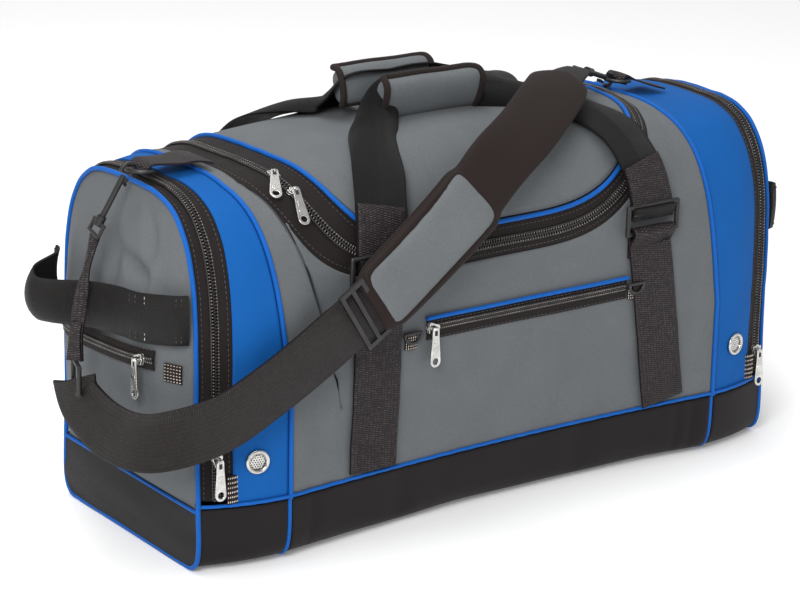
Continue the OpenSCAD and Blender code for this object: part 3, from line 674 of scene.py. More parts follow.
def build_base():
    def corner(p, x, a):
        """Small sags and rubbed folds of the stiff base cloth, above the ground."""
        low = np.exp(-((p[..., 2] - 14) / 16) ** 2)
        lift = 0.9 * ripple(x / 30, a / 5, 21) * low
        for fx, width in ((-222, 5), (208, 7), (226, 5), (-120, 14), (90, 16)):
            lift = lift - 1.8 * np.exp(-(((x - fx) / width) ** 2)) * rise(p[..., 2], 2, 22)
        return p + lift[..., None] * skin_normal(x, a)

    edge = SEAM_X + 2 - SEAM_GAP
    x = steps(-edge, edge, CELL)
    a = steps(-180 - BASE_A, BASE_A, 1.1)
    x, a = np.meshgrid(x, a, indexing="ij")
    p = corner(bare_skin(x, a), x, a)
    p[..., 2] = np.maximum(p[..., 2], 0.15)
    tub = sheet("base_cloth", p, 1.5, "base", "lining")
    done(tub, "bag", ["base_tub"])

    parts = []
    for side in (-1, 1):
        x = np.linspace(SEAM_X + 2 + SEAM_GAP, END_X - 0.2, 24) * side
        x = np.sort(x)
        gx, ga = np.meshgrid(x, a[0], indexing="ij")
        p = bare_skin(gx, ga)
        near = rise(np.abs(gx), END_X - 10, END_X + 6)
        p[..., 2] = np.maximum(p[..., 2], 0.15)
        p += (0.8 * ripple(gx / 16, ga / 5, 33) * (1 - near))[..., None] * skin_normal(gx, ga)
        p[..., 2] = np.maximum(p[..., 2], 0.15)
        parts.append(sheet("end_ring", p, 1.5, "base", "lining"))
        parts.append(end_wall(side))
    lower = join("end_base_cloth", parts)
    done(lower, "bag", ["end_bases"])


def end_wall(side):
    """Lower part of an end: level top edge, rounded down to the base, slightly bellied."""
    rows = np.linspace(0, 1, 16)
    a = np.linspace(-180 - BASE_A, BASE_A, 70)
    outline = bare_skin(END_X, a)
    outline[:, 2] = np.maximum(outline[:, 2], 0.3)
    top_y = np.interp(np.linspace(0, 1, len(a)), (0, 1), (outline[0, 1], outline[-1, 1]))
    y = mix(top_y[:, None], outline[:, 1][:, None], rows[None] ** 0.7)
    z = mix(BASE_H, outline[:, 2][:, None], rows[None])
    belly = 3.0 * np.sin(math.pi * np.clip(z / BASE_H, 0, 1)) * (1 - (np.abs(y) / END_B) ** 4)
    x = side * (END_X + np.maximum(belly, 0) + 0.6 * ripple(y / 16, z / 9, 40 + side))
    p = np.stack([x, y, z], -1)
    return sheet("end_wall", p if side < 0 else p[:, ::-1], 1.4, "base", "lining")


PANEL_LEFT = float(seam_at(-1, 90)) + SEAM_GAP
PANEL_RIGHT = float(seam_at(1, 90)) - SEAM_GAP


def column_top(s):
    return LID_X + np.where(s < 0, LID_X - PANEL_LEFT, PANEL_RIGHT - LID_X) * np.sin(s * math.pi / 2)


def column_share(x):
    reach = np.where(x < LID_X, LID_X - PANEL_LEFT, PANEL_RIGHT - LID_X)
    return np.arcsin(np.clip((x - LID_X) / reach, -1, 1)) * 2 / math.pi


def column_at(s, up):
    """Station of a main panel's column; up is 0 at the base and 1 where the seams stop leaning."""
    return mix((SEAM_X + 2 - SEAM_GAP) * s, column_top(s), np.clip(up, 0, 1))


def column_end(s):
    """Angle at which each column meets the lid zip."""
    low, high = np.zeros(s.shape), np.full(s.shape, 90.0)
    for _ in range(24):
        a = (low + high) / 2
        below = a < rim_angle(column_at(s, a / 62), BAND_LINE)
        low, high = np.where(below, a, low), np.where(below, high, a)
    return high


def build_front():
    share = np.sin(np.linspace(-0.5, 0.5, count(560) + 1) * math.pi * 0.88) / math.sin(0.44 * math.pi)
    w = np.linspace(0, 1, count(300) + 1)
    a = mix(BASE_A + HEM_A, column_end(share)[:, None], w[None])
    x = column_at(share[:, None], a / 62)
    done(sheet("front_cloth", cloth(x, a), 1.4, "grey", "lining"), "bag", ["front_panel"])


def build_back():
    """The back and the two shoulders beside the lid, in one sheet cut out round the lid."""
    a = np.concatenate([np.linspace(90, HINGE_A + 2, count(100))[:-1],
                        np.linspace(HINGE_A + 2, 180 - BASE_A - HEM_A, count(250))])
    left, right = LID_X - BAND_LINE[0], LID_X + BAND_LINE[1]
    beside = 5
    tops = np.concatenate([np.linspace(PANEL_LEFT, left, beside + 1)[:-1],
                           np.linspace(left, right, count(470)),
                           np.linspace(right, PANEL_RIGHT, beside + 1)[1:]])
    x = column_at(column_share(tops)[:, None], ((180 - a) / 62)[None])
    keep = np.ones((x.shape[0] - 1, x.shape[1] - 1), bool)
    keep[beside:-beside, a[:-1] < HINGE_A + 1.9] = False
    p = cloth(x, np.broadcast_to(a, x.shape))
    obj = sheet("back_cloth", p, 1.4, "grey", "lining", keep)
    done(obj, "bag", ["back_panel"])


def build_side_bands():
    for side, name in SIDES:
        a = steps(BASE_A + HEM_A, 180 - BASE_A - HEM_A, 1.6)
        share = np.linspace(0, 1, 22)
        gs, ga = np.meshgrid(share, a, indexing="ij")
        seam = seam_at(side, ga) + side * SEAM_GAP
        edge = side * (END_X - BAND_BACK)
        x = mix(np.minimum(seam, edge), np.maximum(seam, edge), gs)
        obj = sheet("side_band_cloth_" + name, cloth(x, ga), 1.4, "blue", "lining")
        done(obj, "bag", ["side_band_" + name])


def build_inside():
    parts = []
    for side in (-1, 1):
        a = np.linspace(-24, 204, 90)
        o = bare_skin(SEAM_X - 12, a) - 18 * skin_normal(SEAM_X - 12, a)
        rows = np.linspace(0, 1, 40)
        y = mix(o[:, 1][:, None] * 0.98, o[:, 1][:, None], rows[None])
        z = mix(8.0, np.maximum(9, o[:, 2][:, None]), rows[None])
        sway = 3.5 * ripple(y / 42, z / 50, 50 + side) * np.sin(math.pi * rows)[None]
        x = side * (SEAM_X - 13.5) + sway
        p = np.stack([x, y, z], -1)
        parts.append(sheet("divider", p[::-1], 1.0, "lining"))
    done(join("divider_cloth", parts), "bag", ["end_dividers"])

    x = np.linspace(POCKET_X[0] - 6, POCKET_X[1] + 6, 60)
    z = np.linspace(84, POCKET_Z - 4, 32)
    gx, gz = np.meshgrid(x, z, indexing="ij")
    a = front_angle(gx, gz)
    sag = 1.6 * ripple(gx / 24, gz / 18, 61) * rise(POCKET_Z - gz, 0, 60)
    p = bare_skin(gx, a) + (sag - 6.5)[..., None] * skin_normal(gx, a)
    done(sheet("pocket_pouch", p, 0.9, "lining"), "bag", ["pocket_lining"])


# ---------------------------------------------------------------- zips


def rim_path(line, grow=0.0, out=0.0, lo=180.0, hi=0.0, n=900):
    """Dense path and normals along a lid line."""
    x, a = rim(np.linspace(lo, hi, n), line, grow)
    return cloth(x, a, out), skin_normal(x, a)


def rim_sheet(name, line_a, grow_a, line_b, grow_b, out_a, out_b, material, cells=6, thick=1.0):
    t = np.linspace(180, 0, 300)
    xa, aa = rim(t, line_a, grow_a)
    xb, ab = rim(t, line_b, grow_b)
    w = np.linspace(0, 1, cells + 1)
    x = mix(xa[:, None], xb[:, None], w[None])
    a = mix(aa[:, None], ab[:, None], w[None])
    out = mix(out_a, out_b, w)[None] + np.zeros(x.shape)
    crown = 0.8 * np.sin(math.pi * w)[None]
    return sheet(name, cloth(x, a, out + crown), thick, material)


def build_lid_zip():
    lower = [rim_sheet("tape_low", BAND_LINE, 3.0, COIL_LINE, 1.2, -1.8, -0.6, "tape")]
    path, normals = rim_path(COIL_LINE, 0.0, 0.6)
    lower += zip_half("lid_coil_low", path, normals, 1)
    hem, hem_n = rim_path(BAND_LINE, -3.2, -0.4)
    lower.append(stitches("band_stitch", hem, hem_n, "stitch"))
    done(join("lid_zip_low", lower), "bag", ["main_zip_lower"])

    upper = [rim_sheet("tape_up", COIL_LINE, -1.2, LID_LINE, -3.0, -0.6, -1.8, "tape")]
    upper += zip_half("lid_coil_up", path, normals, -1, start=1.45)
    hem, hem_n = rim_path(LID_LINE, 4.6, -0.3)
    upper.append(stitches("lid_stitch", hem, hem_n, "stitch"))
    done(join("lid_zip_up", upper), "lid", ["main_zip_upper"])


def end_path(side, back, out, n=700, lo=-29.0, hi=209.0):
    a = np.linspace(lo, hi, n)
    x = side * (END_X - back)
    return cloth(x, a, out), skin_normal(x, a)


def end_tape(name, side, back_a, back_b, out_a, out_b):
    a = steps(-29.4, 209.4, 1.2)
    w = np.linspace(0, 1, 6)
    x = side * (END_X - mix(back_a, back_b, w))[:, None] + np.zeros(len(a))[None]
    out = mix(out_a, out_b, w)[:, None] + np.zeros(len(a))[None]
    p = cloth(x, np.broadcast_to(a, x.shape), out)
    return sheet(name, p if side * (back_a - back_b) > 0 else p[::-1], 1.0, "tape")


def build_end_zips():
    inner = []
    for side, word in SIDES:
        inner.append(end_tape("tape_in", side, BAND_BACK + 3, COIL_BACK + 1.2, -1.6, -0.4))
        path, normals = end_path(side, COIL_BACK, 0.8)
        inner += zip_half("end_coil_in", path, normals, -side)
        hem, hem_n = end_path(side, BAND_BACK - 3.0, -0.6)
        inner.append(stitches("end_stitch", hem, hem_n, "stitch"))
        outer = [end_tape("tape_out", side, COIL_BACK - 1.2, 1.0, -0.4, -1.4)]
        outer += zip_half("end_coil_out", path, normals, side, start=1.45)
        hem, hem_n = end_path(side, 4.6, -0.6)
        outer.append(stitches("flap_stitch", hem, hem_n, "stitch"))
        done(join("end_zip_out_" + word, outer), word + "_flap", ["end_zip_" + word])
    done(join("end_zip_in", inner), "bag", ["end_zip_inner"])


def front_path(x0, x1, z, out, n=200):
    x = np.linspace(x0, x1, n)
    a = front_angle(x, z)
    return cloth(x, a, out), skin_normal(x, a)


def front_band(name, x0, x1, z0, z1, out, material, thick=0.9, crown=0.5, ends=0.0):
    x = np.linspace(x0, x1, 120)
    z = np.linspace(z0, z1, 10)
    gx, gz = np.meshgrid(x, z, indexing="ij")
    a = front_angle(gx, gz)
    lift = out + crown * np.sin(math.pi * (gz - z0) / (z1 - z0))
    return sheet(name, cloth(gx, a, lift - ends * (np.abs(gx - x0) < 1)), thick, material)


def build_pocket():
    x0, x1 = POCKET_X
    parts = [front_band("pocket_tape", x0, x1, POCKET_Z - 20, POCKET_Z - 2, 1.6, "tape")]
    path, normals = front_path(x0 + 2, x1 - 2, POCKET_Z - POCKET_DROP, 3.0)
    parts += small_coil("pocket_coil", path, normals, 2.4)
    for z in (POCKET_Z - 3.6, POCKET_Z - 18.2):
        line, line_n = front_path(x0 + 1, x1 - 1, z, 2.2)
        parts.append(stitches("pocket_stitch", line, line_n, "stitch"))
    done(join("pocket_zip_tape", parts), "bag", ["pocket_zip"])
    path, _ = front_path(x0 - 1, x1 + 1, POCKET_Z + 0.4, PIPING_R + 0.4)
    done(tube("pocket_cord", path, 2.0, "piping"), "bag", ["pocket_piping"])


# ---------------------------------------------------------------- piping


def base_cords(name, x):
    """Cords along the front and the back base line over stations x."""
    lines = (BASE_A + 0.9, 180 - BASE_A - 0.9)
    return [tube(name, cloth(x, angle, 1.0), BASE_CORD_R, "piping")
            for angle in lines]


def build_piping():
    parts = []
    for side in (-1, 1):
        a = np.linspace(-31.4, 211.4, 300)
        parts.append(tube("seam", cloth(seam_at(side, a), a, 0.4), PIPING_R, "piping"))
        a = np.linspace(-149, -31, 220)
        x = side * (SEAM_X + 2)
        low = bare_skin(x, a) - 1.4 * skin_normal(x, a)
        low[:, 2] = np.maximum(low[:, 2], PIPING_R * 0.9)
        parts.append(tube("base_seam", low, PIPING_R * 0.95, "piping"))
        outline = bare_skin(side * (END_X + 0.6), a)
        outline[:, 2] = np.maximum(outline[:, 2], PIPING_R)
        parts.append(tube("end_outline", outline, PIPING_R, "piping"))
        y = np.linspace(-END_W - 3, END_W + 3, 80)
        level = np.stack([np.full(80, side * (END_X + 2.2)), y, BASE_H - 1.6 + 0 * y], -1)
        parts.append(tube("end_level", level, PIPING_R * 0.75, "piping"))
        parts += base_cords("end_line", np.linspace(SEAM_X + 3, END_X - 1, 40) * side)
    parts += base_cords("base_line", np.linspace(-SEAM_X - 1, SEAM_X + 1, 200))
    done(join("piping_cords", parts), "bag", ["body_piping"])

    path, _ = rim_path(LID_LINE, 0.0, 0.5, 178.5, 1.5, 500)
    done(tube("lid_cord", path, PIPING_R, "piping"), "lid", ["lid_piping"])
    for side, word in SIDES:
        a = np.linspace(-31.4, 211.4, 300)
        path = cloth(side * (END_X + 0.4), a, 0.4)
        done(tube("flap_cord_" + word, path, PIPING_R, "piping"), word + "_flap",
             ["flap_piping_" + word])


# ---------------------------------------------------------------- lid


def build_lid():
    u = np.linspace(-90, 90, count(420) + 1)
    s = 0.9996 * np.sin(np.radians(u))
    x = LID_X + s * (np.where(s < 0, LID_LINE[0], LID_LINE[1]) - SEAM_GAP)
    a0 = rim_angle(x, LID_LINE, -SEAM_GAP)
    w = np.linspace(0, 1, count(260) + 1)
    a = mix(a0[:, None], HINGE_A + 3.2, w[None])
    p = cloth(np.broadcast_to(x[:, None], a.shape), a, -1.2 * rise(a, HINGE_A - 1, HINGE_A + 3))
    lid = sheet("lid_cloth", p, 1.4, "grey", "lining")
    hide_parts("lid_panel")
    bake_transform(lid)


# ---------------------------------------------------------------- end flaps


def flap_surface(y, z):
    """How far an end flap stands out at y and z."""
    across = 1 - (np.abs(y) / (END_W * 1.03)) ** 3
    up = np.clip((z - BASE_H) / (END_H - BASE_H), 0, 1)
    return FLAP_BULGE * np.maximum(0, across) * np.sin(math.pi * up**0.8) ** 0.8


# Soft folds of the left flap: y, z, length along the fold, half width, turn, depth
FLAP_FOLDS = (
    (-46, 296, 30, 8, 60, -10.0),
    (-34, 262, 26, 6, 15, -9.0),
    (2, 262, 40, 9, 70, -7.0),
    (-62, 262, 30, 7, 80, 5.0),
    (-20, 238, 50, 8, 8, 3.5),
    (-66, 150, 44, 12, 78, -2.6),
    (30, 110, 50, 14, 20, -2.5),
    (58, 270, 40, 14, -50, -2.5),
)


def flap_relief(y, z, seed):
    lift = 1.1 * ripple(y / 30, z / 36, seed)
    for fy, fz, length, half, turn, depth in FLAP_FOLDS:
        c, s = math.cos(math.radians(turn)), math.sin(math.radians(turn))
        p = (y - fy) * c + (z - fz) * s
        q = -(y - fy) * s + (z - fz) * c
        lift = lift + depth * np.exp(-((p / length) ** 2) - (q / half) ** 2)
    return lift


def build_flap(side, word):
    n_w, n_u = count(700), count(200)
    a = np.linspace(-28.5, 208.5, n_w + 1)
    o = bare_skin(END_X, a) - SEAM_GAP * 0.6 * skin_normal(END_X, a)
    u = np.linspace(0, 1, n_u + 1) ** 0.9
    y = mix(o[:, 1][:, None] * 0.97, o[:, 1][:, None], u[None])
    z = mix(BASE_H + 3.5, np.maximum(BASE_H + 4.5, o[:, 2][:, None]), u[None])
    below = np.linspace(BASE_H - 4, BASE_H + 3.5, 6)[:-1]
    y = np.hstack([np.repeat(y[:, :1], 5, 1), y])
    z = np.hstack([np.repeat(below[None], len(a), 0), z])
    share = np.concatenate([np.zeros(5), u])
    out = flap_surface(y, z) * (1 - share[None] ** 6)
    calm = rise(z, BASE_H + 2, BASE_H + 26) * rise(1 - share, 0.0, 0.22)[None]
    out = out + flap_relief(y * (1 if side < 0 else -1), z, 70 + side) * calm
    p = np.stack([side * (END_X + out), y, z], -1)
    obj = sheet("flap_cloth_" + word, p if side > 0 else p[::-1], 1.4, "grey", "lining")
    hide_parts("end_flap_" + word)
    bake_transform(obj)
    return obj


# Grab handle from its front end to its back one: reach past the end seam, y, z
GRAB_PATH = ((6, -108, 232.5), (17, -100, 232), (26.5, -62, 226), (31, -28, 224), (42, 2, 222),
             (66, 28, 221), (73, 48, 221), (60, 70, 223), (26, 84, 226), (19.5, 97, 228))


def build_grab(side, word):
    t = np.linspace(0, 1, 120)
    path = spline(GRAB_PATH, t) + np.array([END_X, 0, 0])
    way = tangents(path)
    outward = unit(np.stack([way[:, 1], -way[:, 0], 0 * t], -1))
    flip = np.array([side, 1, 1])
    width = 44 - 7 * np.exp(-((t - 0.62) / 0.2) ** 2)
    path, outward = path * flip, outward * flip
    if side < 0:
        path, outward = path[::-1], outward[::-1]
    free = np.exp(-((t - 0.62) / 0.22) ** 2)
    free = free if side > 0 else free[::-1]
    width = width if side > 0 else width[::-1]
    web = ribbon("grab_web", path, outward, width, 1.8, "web_fine", bulge=0.6,
                 roll=0.1 + 0.8 * free)
    parts = [web]
    for share in (0.06, 0.09, 0.20, 0.23, 0.26, 0.965, 0.94):
        share = share if side > 0 else 1 - share
        i = int(share * (len(path) - 1))
        line = path[i] + np.linspace(-20, 20, 30)[:, None] * np.array([0, 0, 1.0])
        line = line + outward[i] * 1.5
        parts.append(stitches("grab_stitch", line, many(outward[i], 30),
                              "pale_stitch" if share in (0.20, 0.8) else "stitch"))
    done(join("grab_webbing_" + word, parts), word + "_flap", ["grab_handle_" + word])


def flap_zip_z(y):
    return 193 - (y + 62) * 0.06


def build_flap_pocket():
    y = np.linspace(FLAP_ZIP_Y[1] - 6, FLAP_ZIP_Y[0] - 14, 90)
    rows = np.linspace(-9, 9, 9)
    gy, gr = np.meshgrid(y, rows, indexing="ij")
    gz = flap_zip_z(gy) - 4 + gr
    out = END_X + flap_surface(gy, gz) + 2.0 + 1.2 * np.cos(gr / 9 * math.pi / 2)
    p = np.stack([-out, gy, gz], -1)
    parts = [sheet("flap_zip_tape", p, 1.0, "tape")]
    line = p[:, 4] + np.array([-0.9, 0, 0])
    normals = many((-1.0, 0, 0), len(line))
    parts += small_coil("flap_coil", line, normals, 2.2)
    for row in (0, 8):
        parts.append(stitches("flap_zip_stitch", p[:, row] + np.array([-0.4, 0, 0]), normals, "stitch"))
    y, z = -94.0, 182.0
    dy = flap_surface(y + 4, z) - flap_surface(y - 4, z)
    centre = (-(END_X + flap_surface(y, z) + 1.4), y, z)
    parts += dotted_tab("flap_tab", centre, (-dy, 8, 0), (-8, -dy, 0), 18, 17)
    done(join("flap_pocket_tape", parts), "left_flap", ["flap_pocket_zip"])


def dotted_tab(name, centre, along_way, face, length, width):
    """Small black tab sewn in with a grid of pale thread dots."""
    along_way, face = unit(along_way), unit(face)
    across = np.cross(face, along_way)
    s = np.linspace(-0.5, 0.5, 8)
    u, v = np.meshgrid(s * length, s * width, indexing="ij")
    p = (np.asarray(centre, float) + u[..., None] * along_way + v[..., None] * across
         + (0.8 * np.cos(v / width * math.pi))[..., None] * face)
    tab = sheet(name, p, 1.0, "binding")
    d = np.linspace(-0.42, 0.42, 6)
    u, v = np.meshgrid(d * length, d * width, indexing="ij")
    places = (np.asarray(centre, float) + u[..., None] * along_way + v[..., None] * across
              + (0.8 * np.cos(v / width * math.pi) + 0.25)[..., None] * face).reshape(-1, 3)
    n = len(places)
    dots = scatter(name + "_dots", places, many(along_way, n),
                   many(face, n), (0.95, 0.5, 0.35), "pale_stitch")
    return [tab, dots]


# ---------------------------------------------------------------- webbing and handles


def sewn_strap(x_low, x_high, back=False):
    """Webbing up a panel from the base to a ring, wrapped round the ring's lower rod."""
    w = np.linspace(0, 1, 90)
    x = mix(x_low, x_high, w)
    a_top = front_angle(x_high, RING_Z - 12)
    a = mix(BASE_A + 2.2, float(a_top), w)
    if back:
        a = 180 - a
    base = cloth(x, a, 2.4)
    normals = skin_normal(x, a)
    sign = 1 if back else -1
    rod = np.array([x_high, sign * RING_Y, RING_Z])
    turn = np.radians(np.linspace(-10, 215, 26))
    r = ROD_R + 1.6
    hem = rod + r * np.stack([0 * turn, sign * np.cos(turn), np.sin(turn)], -1)
    hem_n = unit(hem - rod)
    tail = np.array([hem[-1] + [0, sign * -0.2, -6], hem[-1] + [0, sign * 0.4, -22]])
    tail_n = many((0, -sign, 0), 2)
    path = np.concatenate([base, hem, tail])
    normals = np.concatenate([normals, hem_n, tail_n])
    strap = ribbon("strap", path, normals, WEB_W, 1.8, "web", bulge=0.5, cells=14)
    parts = [strap]
    side_way = np.array([1.0, 0, 0])
    for edge in (-1, 1):
        line = base + side_way * edge * (WEB_W / 2 - 2.2)
        line = line + skin_normal(x, a) * 0.3
        parts.append(stitches("strap_stitch", line, skin_normal(x, a),
                              "pale_stitch" if edge < 0 else "stitch", 2.2, 1.9, 0.3))
    for share in (0.93, 0.96):
        i = int(share * 89)
        line = base[i] + np.linspace(-22, 22, 30)[:, None] * side_way
        line = line + skin_normal(x[i], a[i]) * 0.7
        parts.append(stitches("strap_bar", line, many(skin_normal(x[i], a[i]), 30),
                              "stitch"))
    return parts


def build_straps():
    done(join("front_webbing", sewn_strap(-158, -RING_X) + sewn_strap(184, RING_X)), "bag",
         ["front_straps"])
    done(join("back_webbing", sewn_strap(-172, -RING_X, True) + sewn_strap(172, RING_X, True)), "bag",
         ["back_straps"])


# Each handle: its name, the middle of its grip, 1 or -1 for front or back, then its padded sleeve's
# middle, size and tilt in degrees
HANDLES = (
    ("front", (-25, -24, 379), 1, (-29, -24, 376.5), (106, 21, 40), 20),
    ("back", (-52, 12, 385), -1, (-54, 12, 382), (100, 21, 34), -14),
)
# Leg of a handle: station, angle and height over the skin
HANDLE_LEG = ((RING_X, 27.5, 7), (RING_X - 2, 33, 8), (RING_X - 8, 41, 9), (RING_X - 20, 51, 9),
              (RING_X - 38, 62, 10), (RING_X - 62, 73, 12))


def handle_path(grip, n=200):
    """Path of a handle from ring to ring through its grip, for the front side."""
    low = [bare_skin(-x, a) + out * skin_normal(x, a) for x, a, out in HANDLE_LEG]
    high = [bare_skin(x, a) + out * skin_normal(x, a) for x, a, out in reversed(HANDLE_LEG)]
    grip = np.asarray(grip, float)
    step = np.array([40.0, 0, 0])
    return spline(low + [grip - step, grip, grip + step] + high, np.linspace(0, 1, n))


def build_handle(word, grip, turn):
    """turn is 1 for the front handle and -1 for the back one, which is turned half round."""
    flip = np.array([turn, turn, 1])
    grip = np.asarray(grip, float) * flip
    path = handle_path(grip)
    n = len(path)
    f = np.abs(np.linspace(-1, 1, n))
    lay = np.clip((f - 0.15) / 0.14, 0, 1)[:, None]
    flat_n = unit(np.stack([0 * f, path[:, 1], (path[:, 2] - 200) * 1.15], -1))
    faces = unit(mix(np.array([0, -0.9, 0.44]), flat_n, lay))
    width = mix(27.0, WEB_W, np.clip(f / 0.6, 0, 1))
    # the first and last points wrap round the upper rod of each ring
    rod_z = RING_Z + RING_H
    wraps = []
    for end in (0, -1):
        rod = np.array([path[end][0], -RING_Y, rod_z])
        angle = np.radians(np.linspace(200, 20, 20) if end == 0 else np.linspace(20, 200, 20))
        ring = rod + (ROD_R + 1.5) * np.stack([0 * angle, -np.cos(angle), -np.sin(angle)], -1)
        wraps.append((ring, unit(ring - rod)))
    keep = f < 0.985
    body_path = np.concatenate([wraps[0][0], path[keep], wraps[1][0]])
    body_n = np.concatenate([wraps[0][1], faces[keep], wraps[1][1]])
    body_w = np.concatenate([np.full(20, WEB_W), width[keep], np.full(20, WEB_W)])
    fold = np.concatenate([np.zeros(20), 1.25 * (1 - rise(f[keep], 0.30, 0.62)), np.zeros(20)])
    body_path, body_n = body_path * flip, body_n * flip
    web = ribbon("handle_web", body_path, body_n, body_w, 1.8, "web_fine", bulge=0.7, cells=14,
                 roll=0.05 + fold)
    parts = [web]
    for sign in (-1, 1):
        lo, hi = (0.70, 0.955)
        band = np.where((np.linspace(-1, 1, n) * sign > lo) & (np.linspace(-1, 1, n) * sign < hi))[0]
        cover = path[band] + faces[band] * 2.0
        parts.append(ribbon("handle_lap", cover * flip, faces[band] * flip, WEB_W - 1, 1.6, "web",
                            bulge=0.7, cells=12))
        parts += box_stitch(cover * flip, faces[band] * flip)
    done(join(word + "_handle_web", parts), word + "_handle", [word + "_handle_webbing"])


def box_stitch(path, normals):
    """Square of stitches with a cross in it, on a doubled end of webbing."""
    side = unit(np.cross(normals, tangents(path)))
    lift = path + unit(normals) * 1.1
    half = WEB_W / 2 - 4
    m = len(path) - 1
    lo, hi = int(m * 0.08), int(m * 0.92)
    rows = []
    for s in (-1, 1):
        rows.append((lift[lo:hi] + side[lo:hi] * half * s, normals[lo:hi]))
        share = np.linspace(-1, 1, hi - lo)[:, None] * s
        rows.append((lift[lo:hi] + side[lo:hi] * half * share, normals[lo:hi]))
    for i in (lo, hi):
        share = np.linspace(-1, 1, 20)[:, None]
        rows.append((lift[i] + side[i] * half * share, many(normals[i], 20)))
    return [stitches("box_stitch", p, n, "stitch", 2.6, 1.4) for p, n in rows]


# ---------------------------------------------------------------- padded pieces


def simulate(obj, pressure, cap, voxel=4.5):
    """Inflates a closed padded piece with the cloth solver, then smooths it."""
    scene = bpy.context.scene
    remesh = obj.modifiers.new("remesh", "REMESH")
    remesh.mode = "VOXEL"
    remesh.voxel_size = voxel * MM
    bake(obj)
    rest = np.array([v.co for v in obj.data.vertices])
    swell = obj.modifiers.new("cloth", "CLOTH")
    settings = swell.settings
    settings.quality = 6
    settings.mass = 0.3
    settings.tension_stiffness = settings.compression_stiffness = 12
    settings.shear_stiffness = 4
    settings.bending_stiffness = 0.4
    settings.use_pressure = True
    settings.uniform_pressure_force = pressure
    settings.effector_weights.gravity = 0
    for step in range(1, 21):
        scene.frame_set(step)
    bake(obj)
    scene.frame_set(1)
    moved = np.array([v.co for v in obj.data.vertices])
    shift = moved - rest
    far = np.linalg.norm(shift, axis=1, keepdims=True)
    shift *= np.minimum(1, cap * MM / np.maximum(far, 1e-9))
    obj.data.vertices.foreach_set("co", (rest + shift).astype(np.float32).ravel())
    obj.modifiers.new("smooth", "SUBSURF").levels = 1
    bake(obj)
    obj.data.polygons.foreach_set("use_smooth", np.ones(len(obj.data.polygons), bool))
    return obj


def bake(obj):
    """Replaces an object's mesh by its evaluated one and drops the modifiers."""
    graph = bpy.context.evaluated_depsgraph_get()
    graph.update()
    made = bpy.data.meshes.new_from_object(obj.evaluated_get(graph))
    obj.modifiers.clear()
    obj.data = made


def position_uv(obj, axis_u, axis_v):
    """UVs in metres from position, for a piece that has lost its own."""
    mesh = obj.data
    co = np.array([v.co for v in mesh.vertices])
    loops = np.empty(len(mesh.loops), np.int32)
    mesh.loops.foreach_get("vertex_index", loops)
    layer = mesh.uv_layers.get("UVMap") or mesh.uv_layers.new(name="UVMap")
    uv = np.stack([co @ unit(axis_u), co @ unit(axis_v)], -1)
    layer.data.foreach_set("uv", uv[loops].ravel())


def grip_frame(centre, tilt):
    c, s = math.cos(math.radians(tilt)), math.sin(math.radians(tilt))
    return np.asarray(centre, float), np.array([0, c, s]), np.array([0, -s, c])


def grip_section(theta, half_y, half_z, n=2.8):
    r = squircle(theta, n)
    return half_y * np.cos(theta) * r, half_z * np.sin(theta) * r


def build_grip(word, body, centre, size, tilt):
    """Padded sleeve: a swollen tube, a wrap over it and bound edges."""
    centre, ey, ez = grip_frame(centre, tilt)
    half_l, half_y, half_z = size[0] / 2, size[1] / 2 - 1.5, size[2] / 2 - 1.5
    s = np.linspace(-1, 1, 40)
    theta = np.linspace(0, 2 * math.pi, 48, endpoint=False)
    taper = (1 - np.abs(s) ** 14) ** 0.5 * 0.14 + 0.86
    y, z = grip_section(theta, half_y, half_z)
    x = s * half_l
    rings = (centre + x[:, None, None] * np.array([1.0, 0, 0])
             + (taper[:, None] * y[None])[..., None] * ey
             + (taper[:, None] * z[None])[..., None] * ez)
    faces = [f[::-1] for f in round_faces(*rings.shape[:2])]
    core = new_object("grip_core", rings.reshape(-1, 3), faces, "pad_grey")
    simulate(core, 4.0, 3.0, 3.5)
    core.data.materials.clear()
    core.data.materials.append(MAT["pad_grey"])
    position_uv(core, (1, 0, 0), ez)

    # outer wrap: from the back over the top and down the front, with one rounded front corner
    lo, hi = math.radians(84), math.radians(238)
    u = np.linspace(-1, 1, 60)
    v = np.linspace(0, 1, 46)
    gu, gv = np.meshgrid(u, v, indexing="ij")
    corner = np.maximum(0, gu - 0.66) / 0.34
    drop = 1 - np.sqrt(np.maximum(0, 1 - corner**2.2))
    angle = mix(lo + drop * math.radians(52), hi, gv)
    yy, zz = grip_section(angle, half_y + 2.8, half_z + 3.0)
    p = (centre + (gu * (half_l + 1.0))[..., None] * np.array([1.0, 0, 0])
         + yy[..., None] * ey + zz[..., None] * ez)
    swell = 0.5 * ripple(gu * 3, gv * 5, 90)[..., None]
    p = p + swell * grid_normals(p) * np.sign((grid_normals(p) @ ez).mean())
    outward = grid_normals(p)[30, 16] @ ez > 0
    wrap = sheet("grip_wrap", p if outward else p[::-1], 1.6, "pad_grey")
    free = np.concatenate([p[0, ::-1], p[1:, 0], p[-1, 1:]])
    binding = tube("grip_binding", smooth_path(free, 160), 3.2, "binding")
    seam = tube("grip_low_edge", smooth_path(p[:, -1], 80), 2.0, "binding")
    whole = join(word + "_grip_pad", [core, wrap, binding, seam])
    done(whole, body, [word + "_grip"])


def smooth_path(points, n):
    """Evenly spaced path with small corners rounded."""
    points = np.asarray(points, float)
    s = lengths(points)
    path = read(np.linspace(0, s[-1], n), s, points)
    for _ in range(4):
        path[1:-1] = (path[:-2] + 2 * path[1:-1] + path[2:]) / 4
    return path


# ---------------------------------------------------------------- shoulder strap

